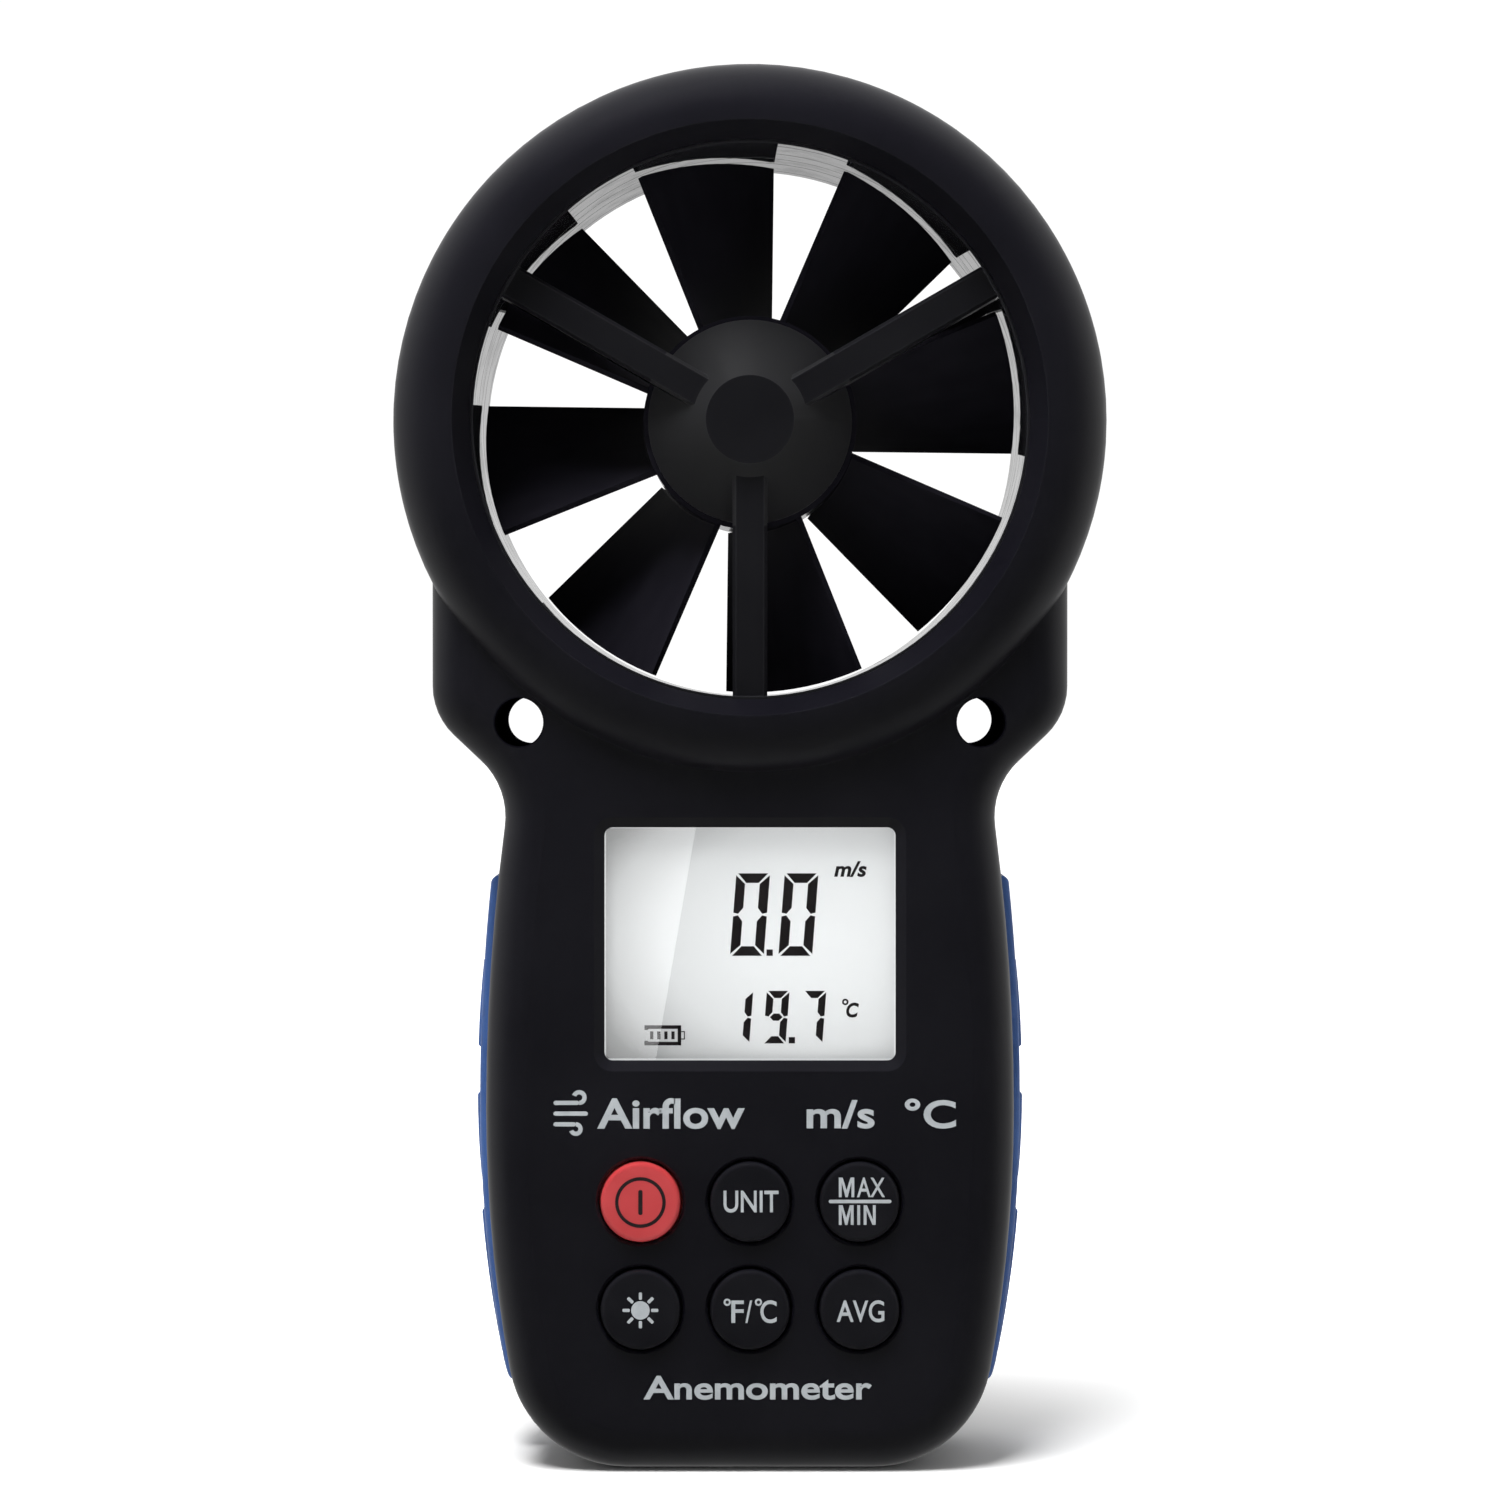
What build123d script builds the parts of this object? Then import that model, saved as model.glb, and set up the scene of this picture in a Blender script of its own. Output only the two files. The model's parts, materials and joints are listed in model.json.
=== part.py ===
from build123d import *
import os
from math import cos, hypot, radians, sin, sqrt

# A handheld vane anemometer that stands on its foot. +Z is up, -Y is the front with the
# display and keys, and +X is the user's right. The origin is the middle of the foot.
# All sizes are in millimetres. The two case halves meet on the plane y = 0.

# Whole instrument
HEIGHT = 164.65
WALL = 2.0
FACE_Y = -15.0
BACK_Y = -FACE_Y
HEAD_RADIUS = 41.8
HEAD_Z = HEIGHT - HEAD_RADIUS

# Head ring section, given as radius and depth
CREST_Y = -19.0
LIP_Y = -15.5
BORE_RADIUS = 32.65
FUNNEL_RADIUS = 34.5
HEAD_ROUND = 7.0
LIP_THICKNESS = 0.6

# Handle outline
HALF_WIDTH = 31.05
WIDEST_Z = 42.0
LOWER_SIDE_RADIUS = 170.0
UPPER_SIDE_RADIUS = 255.0
NECK_Z = 79.75
SHOULDER_HALF_WIDTH = 37.35
SHOULDER_Z = 88.35
OUTLINE_TOP_Z = 108.0
FOOT_CORNER = 14.0
NECK_ROUND = 9.0
SHOULDER_ROUND = 8.0
EDGE_ROUND = 5.0
PARTING_CHAMFER = 0.25

# Vane duct and its spiders
DUCT_RADIUS = 32.3
DUCT_OUTER = 34.2
DUCT_JOINT_CHAMFER = 0.12
DUCT_END_Y = LIP_Y + LIP_THICKNESS
HUB_RADIUS = 12.0
HUB_NOSE_RADIUS = 5.15
HUB_SHOULDER_Y = -10.2
HUB_BACK_Y = -9.2
HUB_INNER_Y = -9.1
BEARING_END_Y = -12.2
SPOKE_WIDTH = 4.05
SPOKE_CHAMFER = 0.38
SPOKE_FRONT_Y = -14.3
SPOKE_BACK_Y = -9.8
SPOKE_ANGLES = (30, 150, 270)

# Air temperature sensor, let into the duct's wall
THERMISTOR_ANGLE = 300
THERMISTOR_Y = 11.0
THERMISTOR_RADIUS = 1.0
THERMISTOR_INNER_END, THERMISTOR_OUTER_END = 32.5, 35.8

# Rotor
BLADES = 8
FIRST_BLADE_ANGLE = 9.7
BLADE_TIP = 31.9
BLADE_ROOT = 11.9
BLADE_HALF_DEPTH = 7.0
BLADE_ROOT_SWEEP = 4.1  # half the tangential width at the root
BLADE_TIP_SWEEP = 8.15
BLADE_ROOT_SHIFT = 0.3  # how far the root is set clockwise of the blade's own radius
BLADE_THICKNESS = 0.8
DRUM_RADIUS = 12.6
DRUM_HALF_LENGTH = 8.4
DRUM_WALL = 1.0
WEB_HALF_THICKNESS = 0.6
ROTOR_BOSS = 2.5
SHAFT_RADIUS = 0.75
SHAFT_HALF_LENGTH = 11.4
BEARING_RADIUS = 2.0
BEARING_CLEARANCE = 0.04

# Display
WINDOW_Z = 61.67
WINDOW_WIDTH, WINDOW_HEIGHT, WINDOW_CORNER = 34.0, 27.2, 1.0
WINDOW_BEVEL, WINDOW_BEVEL_DEPTH = 1.2, 0.8
LENS_WIDTH, LENS_HEIGHT, LENS_CORNER = 35.6, 28.8, 1.6
LENS_FRONT_Y, LENS_BACK_Y = -14.0, -13.0
LCD_WIDTH, LCD_HEIGHT = 38.0, 32.0
LCD_LEDGE = 2.2  # how far the rear glass runs past the front glass at the top and bottom
LCD_FRONT_Y, LCD_MIDDLE_Y, LCD_BACK_Y = -12.9, -11.8, -10.6
HOLDER_WALL = 0.8

# Keys
KEY_RADIUS = 4.65
KEY_HOLE_RADIUS = 4.95
KEY_FRONT_Y = -15.9
KEY_FLANGE_RADIUS = 5.3
KEY_FLANGE_Y, KEY_FLANGE_BACK_Y = -12.9, -12.0
KEY_STEM_RADIUS, KEY_STEM_END_Y = 3.2, -9.3
KEY_TRAVEL = 0.8
PILL_RADIUS = 2.4
PAD_RADIUS, PAD_THICKNESS = 2.6, 0.05
KEY_PITCH_X, KEY_PITCH_Z = 12.75, 12.55
KEY_TOP_ROW_Z = 31.7
KEY_NAMES = (("power", "unit", "maxmin"), ("light", "scale", "average"))

# Main board, between the display and the battery bay
BOARD_FRONT_Y, BOARD_BACK_Y = -7.9, -6.3
BOARD_HALF_WIDTH = 25.0
BOARD_LOW_Z, BOARD_TOP_Z = 13.5, 80.5
BOARD_SCREWS = [(x, z) for x in (-22.8, 22.8) for z in (19.0, 76.0)]
POST_RADIUS = 2.4

# Battery bay and door
BAY_HALF_WIDTH = 13.8
BAY_LOW_Z, BAY_TOP_Z = 7.2, 66.5
BAY_FLOOR_Y = -5.0
BAY_WALL = 1.1
DOOR_HALF_WIDTH = 15.5
DOOR_LOW_Z, DOOR_TOP_Z = 9.8, 67.8
DOOR_SEAT_Y = 13.2
DOOR_GAP = 0.25
DOOR_CORNER = 1.6
HOOK_XS = (-7.5, 7.5)
HOOK_HALF_WIDTH = 2.6
HOOK_FRONT_Y, HOOK_BACK_Y = 11.6, 12.8
BATTERY_SIZE = (26.2, 17.2, 46.4)
BATTERY_LOW_Z = 12.8
BATTERY_TOP_Z = BATTERY_LOW_Z + BATTERY_SIZE[2]
BATTERY_MID_Y = 3.8
TERMINALS = ((-6.3, 2.9), (6.3, 3.7))  # x and radius
TERMINAL_HEIGHT = 2.0

# Openings through both case halves
LANYARD_X, LANYARD_Z, LANYARD_RADIUS = 26.95, 87.55, 2.85
SCREW_RADIUS, SCREW_HEAD_RADIUS = 1.3, 2.2
SCREW_SEAT_Y = 9.0
TOP_SCREW_RADIUS = 37.4
CASE_SCREWS = [
    (sign * x, z)
    for sign in (-1, 1)
    for x, z in (
        (20.0, 9.5),
        (33.2, 92.2),
        (TOP_SCREW_RADIUS * cos(radians(60)), HEAD_Z + TOP_SCREW_RADIUS * sin(radians(60))),
    )
]
TRIPOD_Z = 75.5
TRIPOD_BORE, TRIPOD_OUTER, TRIPOD_FLANGE = 2.6, 4.0, 5.2
TRIPOD_FRONT_Y = 6.0
TRIPOD_FLANGE_Y = 14.2
TRIPOD_RELIEF = 0.9  # free depth beyond the nut for the end of a long stud

# Side grips
GRIP_PROUD, GRIP_SUNK = 1.45, 0.8
GRIP_LOW_Z, GRIP_TOP_Z = 8.4, 69.0
GRIP_FRONT_Y, GRIP_BACK_Y = 0.3, 10.0
# Finger pads, each with the height of its raised end and of its fading end
FINGER_PADS = ((48.3, 59.0), (42.8, 32.6), (28.8, 11.5))
PAD_RISE = 0.32
PAD_MIDDLE_RISE = 0.26
PAD_END_RISE = 0.1
PAD_MARGIN = 1.6


# Helpers. Sketches are drawn with x to the right and z up, then placed at a depth y.
def slab(sketch, y_front, y_back):
    return extrude(Plane.XZ.offset(-y_back) * sketch, amount=y_back - y_front)


def disc(radius, x, z, y_front, y_back):
    return slab(Pos(x, z) * Circle(radius), y_front, y_back)


def block(x_range, z_range, y_range):
    (x0, x1), (z0, z1), (y0, y1) = x_range, z_range, y_range
    return Pos((x0 + x1) / 2, (y0 + y1) / 2, (z0 + z1) / 2) * Box(x1 - x0, y1 - y0, z1 - z0)


def plate(width, height, corner, z, y_front, y_back):
    return slab(Pos(0, z) * RectangleRounded(width, height, corner), y_front, y_back)


def turned(outline, x=0.0, z=HEAD_Z):
    """A solid of revolution about the Y axis through (x, z); outline holds closed edges."""
    profile = Plane.XY.offset(z) * Pos(x, 0) * make_face(outline)
    return revolve(profile, axis=Axis((x, 0, z), (0, 1, 0)))


def turned_points(points, x=0.0, z=HEAD_Z):
    return turned(Polyline(*points, close=True), x, z)


def about_head(shape, angle):
    """The shape, modelled along +X from the head's axis, turned counterclockwise as seen from the front."""
    return Pos(0, 0, HEAD_Z) * Rotation(0, -angle, 0) * shape


def to_back(shape):
    return mirror(shape, about=Plane.XZ)


def edges_at_y(shape, y):
    return shape.edges().filter_by(
        lambda e: abs(e.bounding_box().min.Y - y) < 1e-3 and abs(e.bounding_box().max.Y - y) < 1e-3
    )


def wire_tube(radius, points, bends):
    path = FilletPolyline(*points, radius=bends)
    start = Plane(origin=path @ 0, z_dir=path % 0)
    return sweep(start * Circle(radius), path=path)


# Handle outline and case shells
def side_arc(radius, z_end):
    centre_x = HALF_WIDTH - radius

    def at(z):
        return centre_x + sqrt(radius**2 - (z - WIDEST_Z) ** 2), z

    return ThreePointArc(at(WIDEST_Z), at((WIDEST_Z + z_end) / 2), at(z_end))


def handle_outline():
    lower = side_arc(LOWER_SIDE_RADIUS, 0.0)
    upper = side_arc(UPPER_SIDE_RADIUS, NECK_Z)
    foot_corner, neck = lower @ 1, upper @ 1
    shoulder = Polyline(
        neck,
        (SHOULDER_HALF_WIDTH, SHOULDER_Z),
        (SHOULDER_HALF_WIDTH, OUTLINE_TOP_Z),
        (0, OUTLINE_TOP_Z),
        (0, 0),
        foot_corner,
    )
    right = make_face([*lower.edges(), *upper.edges(), *shoulder.edges()])
    whole = (Sketch() + right + mirror(right, about=Plane.YZ)).clean()
    for height, radius in (
        (foot_corner.Y, FOOT_CORNER),
        (neck.Y, NECK_ROUND),
        (SHOULDER_Z, SHOULDER_ROUND),
    ):
        corners = whole.vertices().filter_by(
            lambda v, height=height: abs(v.Y - height) < 1e-3 and abs(v.X) > 1
        )
        whole = fillet(corners, radius=radius)
    return whole


def handle_plate(outline, y_face, edge_round):
    solid = slab(outline, y_face, 0)
    return fillet(edges_at_y(solid, y_face), radius=edge_round)


def head_section(inset):
    """The ring section's outer radius, its crest and the arc between; inset is 0 for its outside."""
    crest_r = HEAD_RADIUS - HEAD_ROUND
    outer_r = HEAD_RADIUS - inset
    round_r = HEAD_ROUND - inset
    arc_y = CREST_Y + HEAD_ROUND
    arc = CenterArc((crest_r, arc_y), round_r, 0, -90)
    return outer_r, crest_r, arc_y - round_r, arc


def head_outside():
    outer_r, crest_r, crest_y, arc = head_section(0)
    rest = Polyline(
        (crest_r, crest_y),
        (FUNNEL_RADIUS, crest_y),
        (BORE_RADIUS, LIP_Y),
        (BORE_RADIUS, 0),
        (outer_r, 0),
        arc @ 0,
    )
    return turned([*arc.edges(), *rest.edges()])


def head_hollow():
    """The channel inside the ring, with the duct's seat under the lip."""
    outer_r, crest_r, crest_y, arc = head_section(WALL)
    rest = Polyline(
        (crest_r, crest_y),
        (DUCT_OUTER, DUCT_END_Y),
        (BORE_RADIUS - 1, DUCT_END_Y),
        (BORE_RADIUS - 1, 0),
        (outer_r, 0),
        arc @ 0,
    )
    return turned([*arc.edges(), *rest.edges()])


def beyond_bore(edge):
    middle = edge @ 0.5
    return hypot(middle.X, middle.Z - HEAD_Z) > BORE_RADIUS + 1


def case_half():
    """The front half's outside and hollow, with the screw and lanyard columns that both halves share."""
    outline = handle_outline()
    bore = disc(BORE_RADIUS, 0, HEAD_Z, CREST_Y - 1, 1)
    outside = handle_plate(outline, FACE_Y, EDGE_ROUND)
    outside = outside - disc(HEAD_RADIUS - 4, 0, HEAD_Z, CREST_Y - 1, 1) + head_outside()
    outside = chamfer(edges_at_y(outside, 0).filter_by(beyond_bore), length=PARTING_CHAMFER)
    hollow = handle_plate(offset(outline, amount=-WALL), FACE_Y + WALL, EDGE_ROUND - WALL) + head_hollow()
    columns = [disc(2.9, x, z, CREST_Y, 0) for x, z in CASE_SCREWS]
    columns += [disc(LANYARD_RADIUS + 1.2, sign * LANYARD_X, LANYARD_Z, FACE_Y, 0) for sign in (-1, 1)]
    duct_space = disc(DUCT_OUTER, 0, HEAD_Z, DUCT_END_Y, 1)
    columns = [(column & outside) - duct_space for column in columns]
    shell = outside - hollow
    for column in columns:
        shell = shell + column
    for sign in (-1, 1):
        shell = shell - disc(LANYARD_RADIUS, sign * LANYARD_X, LANYARD_Z, CREST_Y - 1, 1)
    return shell - bore


# Display stack
def window_opening():
    """The bevelled opening in the face, and the shallow pocket behind it that takes the lens."""
    opening = plate(WINDOW_WIDTH, WINDOW_HEIGHT, WINDOW_CORNER, WINDOW_Z, FACE_Y, LENS_BACK_Y)
    rims = []
    for grow, y in ((WINDOW_BEVEL, FACE_Y), (0, FACE_Y + WINDOW_BEVEL_DEPTH)):
        rim = RectangleRounded(WINDOW_WIDTH + 2 * grow, WINDOW_HEIGHT + 2 * grow, WINDOW_CORNER + grow)
        rims.append(Plane.XZ.offset(-y) * Pos(0, WINDOW_Z) * rim)
    width, height, corner = LENS_WIDTH + 0.2, LENS_HEIGHT + 0.2, LENS_CORNER + 0.1
    pocket = plate(width, height, corner, WINDOW_Z, LENS_FRONT_Y, LENS_BACK_Y)
    return opening + loft(rims) + pocket


def display_window():
    lens = plate(LENS_WIDTH, LENS_HEIGHT, LENS_CORNER, WINDOW_Z, LENS_FRONT_Y, LENS_BACK_Y)
    return chamfer(edges_at_y(lens, LENS_FRONT_Y), length=0.15)


def lcd_glass():
    """Two bonded glass sheets; the rear one is longer and carries the contact ledges."""
    front = plate(LCD_WIDTH, LCD_HEIGHT - 2 * LCD_LEDGE, 0.3, WINDOW_Z, LCD_FRONT_Y, LCD_MIDDLE_Y)
    return front + plate(LCD_WIDTH, LCD_HEIGHT, 0.3, WINDOW_Z, LCD_MIDDLE_Y, LCD_BACK_Y)


def lcd_backlight():
    return plate(35.0, 26.0, 0.5, WINDOW_Z, -10.4, -8.4)


def lcd_holder():
    """A frame that stands on the board round the cell."""
    width, height = LCD_WIDTH + 0.4, LCD_HEIGHT + 0.4
    inside = plate(width, height, 0.5, WINDOW_Z, LCD_FRONT_Y - 1, BOARD_FRONT_Y + 1)
    wall = 2 * HOLDER_WALL
    return plate(width + wall, height + wall, 1.3, WINDOW_Z, LCD_FRONT_Y, BOARD_FRONT_Y) - inside


def zebra_strips():
    """Striped rubber bars that carry the current from the board to the rear glass's ledges."""
    strips = []
    for side in (-1, 1):
        z = WINDOW_Z + side * (LCD_HEIGHT / 2 - 1.2)
        strips.append(block((-17, 17), (z - 1.0, z + 1.0), (LCD_BACK_Y, BOARD_FRONT_Y)))
    return strips


def backlight_leds():
    heights = (WINDOW_Z - 6, WINDOW_Z + 6)
    return [block((17.6, 18.9), (z - 1.5, z + 1.5), (-9.7, BOARD_FRONT_Y)) for z in heights]


# Keys
def key_places():
    for row, names in enumerate(KEY_NAMES):
        for column, name in enumerate(names):
            yield name, (column - 1) * KEY_PITCH_X, KEY_TOP_ROW_Z - row * KEY_PITCH_Z


def key(x, z):
    """A silicone key: its cap, the flange that holds it behind the face, and the stem."""
    cap = disc(KEY_RADIUS, x, z, KEY_FRONT_Y, KEY_FLANGE_BACK_Y)
    cap = fillet(edges_at_y(cap, KEY_FRONT_Y), radius=0.55)
    flange = disc(KEY_FLANGE_RADIUS, x, z, KEY_FLANGE_Y, KEY_FLANGE_BACK_Y)
    return cap + flange + disc(KEY_STEM_RADIUS, x, z, KEY_FLANGE_BACK_Y, KEY_STEM_END_Y)


def key_pill(x, z):
    """The carbon disc under a key; the key's travel just brings it onto the board's pads."""
    pads_y = BOARD_FRONT_Y - PAD_THICKNESS
    return disc(PILL_RADIUS, x, z, KEY_STEM_END_Y, pads_y - KEY_TRAVEL)


def keypad_mat():
    mid_z = KEY_TOP_ROW_Z - KEY_PITCH_Z / 2
    mat = plate(40.0, 26.2, 2.0, mid_z, KEY_FLANGE_Y - 0.05, KEY_FLANGE_BACK_Y + 0.1)
    for _, x, z in key_places():
        mat = mat - disc(KEY_FLANGE_RADIUS + 0.05, x, z, KEY_FLANGE_Y - 1, KEY_FLANGE_BACK_Y + 1)
    return mat


def contact_pads():
    """Each key's pair of half-round gold pads, with the gap that the key's pill bridges."""
    pads = []
    for _, x, z in key_places():
        pad = disc(PAD_RADIUS, x, z, BOARD_FRONT_Y - PAD_THICKNESS, BOARD_FRONT_Y)
        gap = block((x - 0.2, x + 0.2), (z - 3, z + 3), (BOARD_FRONT_Y - 1, BOARD_FRONT_Y + 1))
        pads += (pad - gap).solids()
    return pads


# Case parts
def front_case():
    case = case_half() - window_opening()
    for _, x, z in key_places():
        hole = disc(KEY_HOLE_RADIUS, x, z, FACE_Y - 1, FACE_Y + 2 * WALL)
        case = case - hole
        case = chamfer(round_edges(case, KEY_HOLE_RADIUS, x, z, FACE_Y), length=0.3)
    for x, z in BOARD_SCREWS:
        case = case + disc(POST_RADIUS, x, z, FACE_Y + WALL - 0.1, BOARD_FRONT_Y)
        case = case - disc(0.9, x, z, FACE_Y + WALL + 0.5, 0)
    for x, z in CASE_SCREWS:
        case = case - disc(SCREW_RADIUS, x, z, -9.5, 1)
    return case


def round_edges(shape, radius, x, z, y):
    """The shape's circular edges of that radius about the point (x, y, z)."""

    def matches(edge):
        if edge.geom_type != GeomType.CIRCLE or abs(edge.radius - radius) > 1e-3:
            return False
        return (edge.arc_center - Vector(x, y, z)).length < 1e-2

    return shape.edges().filter_by(matches)


def rear_case():
    case = to_back(case_half())
    for side in (1, -1):
        case = case - grip_strip(side)
    case = with_battery_bay(case) - door_space() - finger_notch()
    for x in HOOK_XS:
        mouth = block((x - 3.0, x + 3.0), (BAY_LOW_Z, BAY_LOW_Z + 4.1), (10.0, DOOR_SEAT_Y + 0.1))
        case = case - mouth
    case = with_tripod_socket(case)
    for x, z in CASE_SCREWS:
        shank = disc(SCREW_RADIUS + 0.2, x, z, -1, BACK_Y + 5)
        well = disc(SCREW_HEAD_RADIUS + 0.3, x, z, SCREW_SEAT_Y, BACK_Y + 5)
        case = case - shank - well
    return case


def with_battery_bay(case):
    """A box hung from the back wall, with a seat for the door round its mouth."""
    inside = (-BAY_HALF_WIDTH, BAY_HALF_WIDTH)
    outside = (-BAY_HALF_WIDTH - BAY_WALL, BAY_HALF_WIDTH + BAY_WALL)
    step_z = BAY_LOW_Z + 4.0
    seat_y = 11.9
    seat = block((-17.5, 17.5), (5.6, 70.0), (seat_y, DOOR_SEAT_Y))
    box = block(outside, (BAY_LOW_Z - BAY_WALL, BAY_TOP_Z + BAY_WALL), (BAY_FLOOR_Y - 1.0, DOOR_SEAT_Y))
    case = case + seat + box
    case = case - block(inside, (step_z, BAY_TOP_Z), (BAY_FLOOR_Y, BACK_Y + 1))
    case = case - block(inside, (BAY_LOW_Z, step_z + 0.1), (BAY_FLOOR_Y, seat_y))
    # the battery stands on a rib, and its leads leave through a slot in the bay's top wall
    case = case + block((-3, 3), (BAY_LOW_Z - 0.5, BATTERY_LOW_Z - 0.1), (BAY_FLOOR_Y - 0.5, 11.0))
    return case - block((-5, 5), (BAY_TOP_Z - 0.5, BAY_TOP_Z + BAY_WALL + 0.5), (BAY_FLOOR_Y, 0))


def with_tripod_socket(case):
    """A boss with a seat for the flanged nut and a blind relief beyond it."""
    relief_y = TRIPOD_FRONT_Y - TRIPOD_RELIEF
    case = case + disc(5.9, 0, TRIPOD_Z, relief_y - 1.2, BACK_Y - 0.5)
    case = case - disc(TRIPOD_BORE + 0.6, 0, TRIPOD_Z, relief_y, TRIPOD_FRONT_Y + 1)
    case = case - disc(TRIPOD_OUTER, 0, TRIPOD_Z, TRIPOD_FRONT_Y, BACK_Y + 1)
    return case - disc(TRIPOD_FLANGE, 0, TRIPOD_Z, TRIPOD_FLANGE_Y, BACK_Y + 1)


def finger_notch():
    """A shallow scoop above the door, so that a fingernail can lift its top edge."""
    return slab(Pos(0, DOOR_TOP_Z) * SlotOverall(11.0, 2.6), BACK_Y - 0.9, BACK_Y + 1)


def door_plate(gap, y_front, y_back):
    """The door's outline, grown by a gap all round."""
    width = 2 * (DOOR_HALF_WIDTH + gap)
    height = DOOR_TOP_Z - DOOR_LOW_Z + 2 * gap
    return plate(width, height, DOOR_CORNER + gap, (DOOR_LOW_Z + DOOR_TOP_Z) / 2, y_front, y_back)


def door_space():
    return door_plate(DOOR_GAP, DOOR_SEAT_Y, BACK_Y + 1)


def battery_door():
    """A hook-in door: two hooked toes at its foot and a thumb grip of five grooves near its top."""
    door = door_plate(0, DOOR_SEAT_Y + 0.05, BACK_Y)
    door = chamfer(edges_at_y(door, BACK_Y), length=0.25)
    root_z = DOOR_LOW_Z + 1.3
    for x in HOOK_XS:
        sides = (x - HOOK_HALF_WIDTH, x + HOOK_HALF_WIDTH)
        neck = block(sides, (DOOR_LOW_Z, root_z), (HOOK_FRONT_Y, DOOR_SEAT_Y + 0.2))
        toe = block(sides, (DOOR_LOW_Z - 1.8, root_z), (HOOK_FRONT_Y, HOOK_BACK_Y))
        door = door + neck + toe
    for rib in range(5):
        groove = Pos(0, DOOR_TOP_Z - 5.0 - rib * 2.0) * SlotOverall(18 - 2 * rib, 0.9)
        door = door - slab(groove, BACK_Y - 0.45, BACK_Y + 1)
    return door


def battery_pad():
    return block((-9, 9), (25, 50), (12.5, DOOR_SEAT_Y + 0.05))


def side_x(z, proud):
    """How far out the handle's side is at height z, on a line that stands proud of it."""
    radius = LOWER_SIDE_RADIUS if z < WIDEST_Z else UPPER_SIDE_RADIUS
    return HALF_WIDTH - radius + sqrt((radius + proud) ** 2 - (z - WIDEST_Z) ** 2)


def grip_strip(side):
    """The long strip that is let into the rear case, without its rounding and finger pads."""
    outline = handle_outline()
    band = offset(outline, amount=GRIP_PROUD) - offset(outline, amount=-GRIP_SUNK)
    height = GRIP_TOP_Z - GRIP_LOW_Z
    band = band & (Pos(side * 30, GRIP_LOW_Z + height / 2) * Rectangle(30, height))
    return slab(band, GRIP_FRONT_Y, GRIP_BACK_Y)


def finger_pad(raised_z, fading_z):
    """A wedge on the right-hand grip, raised at one end and running out into the strip at the other."""
    middle_z = (raised_z + fading_z) / 2
    crown = ThreePointArc(
        (side_x(raised_z, GRIP_PROUD + PAD_RISE), raised_z),
        (side_x(middle_z, GRIP_PROUD + PAD_MIDDLE_RISE), middle_z),
        (side_x(fading_z, GRIP_PROUD + PAD_END_RISE), fading_z),
    )
    inner_raised = (side_x(raised_z, 0.2), raised_z)
    inner_fading = (side_x(fading_z, 0.2), fading_z)
    back = Polyline(crown @ 1, inner_fading, inner_raised, crown @ 0)
    outline = make_face([*crown.edges(), *back.edges()])
    pad = slab(outline, GRIP_FRONT_Y + PAD_MARGIN, GRIP_BACK_Y - PAD_MARGIN)
    return fillet([e for e in pad.edges() if stands_proud(e @ 0.5)], radius=0.4)


def stands_proud(point):
    return point.X > side_x(point.Z, GRIP_PROUD + 0.05)


def grip_right():
    """The strip with its outer edges rounded, and its three finger pads."""
    strip = grip_strip(1)
    rim = offset(handle_outline(), amount=GRIP_PROUD).wire()

    def on_rim(edge):
        middle = edge @ 0.5
        return rim.distance_to(Vertex(middle.X, middle.Z, 0)) < 0.01

    grip = fillet(strip.edges().filter_by(on_rim), radius=1.1)
    for raised_z, fading_z in FINGER_PADS:
        grip = grip + finger_pad(raised_z, fading_z)
    return grip


# Vane duct
def hub_outside():
    return turned_points(
        [
            (0, LIP_Y),
            (HUB_NOSE_RADIUS, LIP_Y),
            (HUB_RADIUS, HUB_SHOULDER_Y),
            (HUB_RADIUS, HUB_BACK_Y),
            (0, HUB_BACK_Y),
        ]
    )


def hub_hollow():
    """The seat for the bush, and the ring-shaped hollow round the seat's wall."""
    cavity = turned_points(
        [(3.6, HUB_INNER_Y), (3.6, -13.2), (5.0, -13.2), (10.8, -10.1), (10.8, HUB_INNER_Y)]
    )
    return cavity + disc(BEARING_RADIUS, 0, HEAD_Z, BEARING_END_Y, HUB_INNER_Y)


def duct_front():
    """The front half of the vane duct: a short tube with three spokes and a hollow hub."""
    tube = disc(DUCT_OUTER, 0, HEAD_Z, DUCT_END_Y, 0) - disc(DUCT_RADIUS, 0, HEAD_Z, DUCT_END_Y - 1, 1)
    tube = chamfer(round_edges(tube, DUCT_RADIUS, 0, HEAD_Z, 0), length=DUCT_JOINT_CHAMFER)
    duct = tube + hub_outside()
    sides = (-SPOKE_WIDTH / 2, SPOKE_WIDTH / 2)
    for angle in SPOKE_ANGLES:
        bar = block((4.0, DUCT_RADIUS + 0.8), sides, (SPOKE_FRONT_Y, SPOKE_BACK_Y))
        long_edges = edges_at_y(bar, SPOKE_FRONT_Y).filter_by(Axis.X)
        duct = duct + about_head(chamfer(long_edges, length=SPOKE_CHAMFER), angle)
    return duct - hub_hollow()


def duct_rear():
    duct = to_back(duct_front())
    channel = block((-1.4, 1.4), (HEAD_Z - DUCT_OUTER - 1, HEAD_Z - 8.4), (9.1, 11.7))
    return duct - channel - radial_pin(THERMISTOR_RADIUS + 0.3, DUCT_RADIUS - 2, DUCT_OUTER + 1)


def radial_pin(radius, inner_end, outer_end):
    """A round pin on a radius of the head, where the temperature sensor sits."""
    length = outer_end - inner_end
    pin = Pos((inner_end + outer_end) / 2, THERMISTOR_Y, 0) * Rotation(0, 90, 0) * Cylinder(radius, length)
    return about_head(pin, THERMISTOR_ANGLE)


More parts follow.
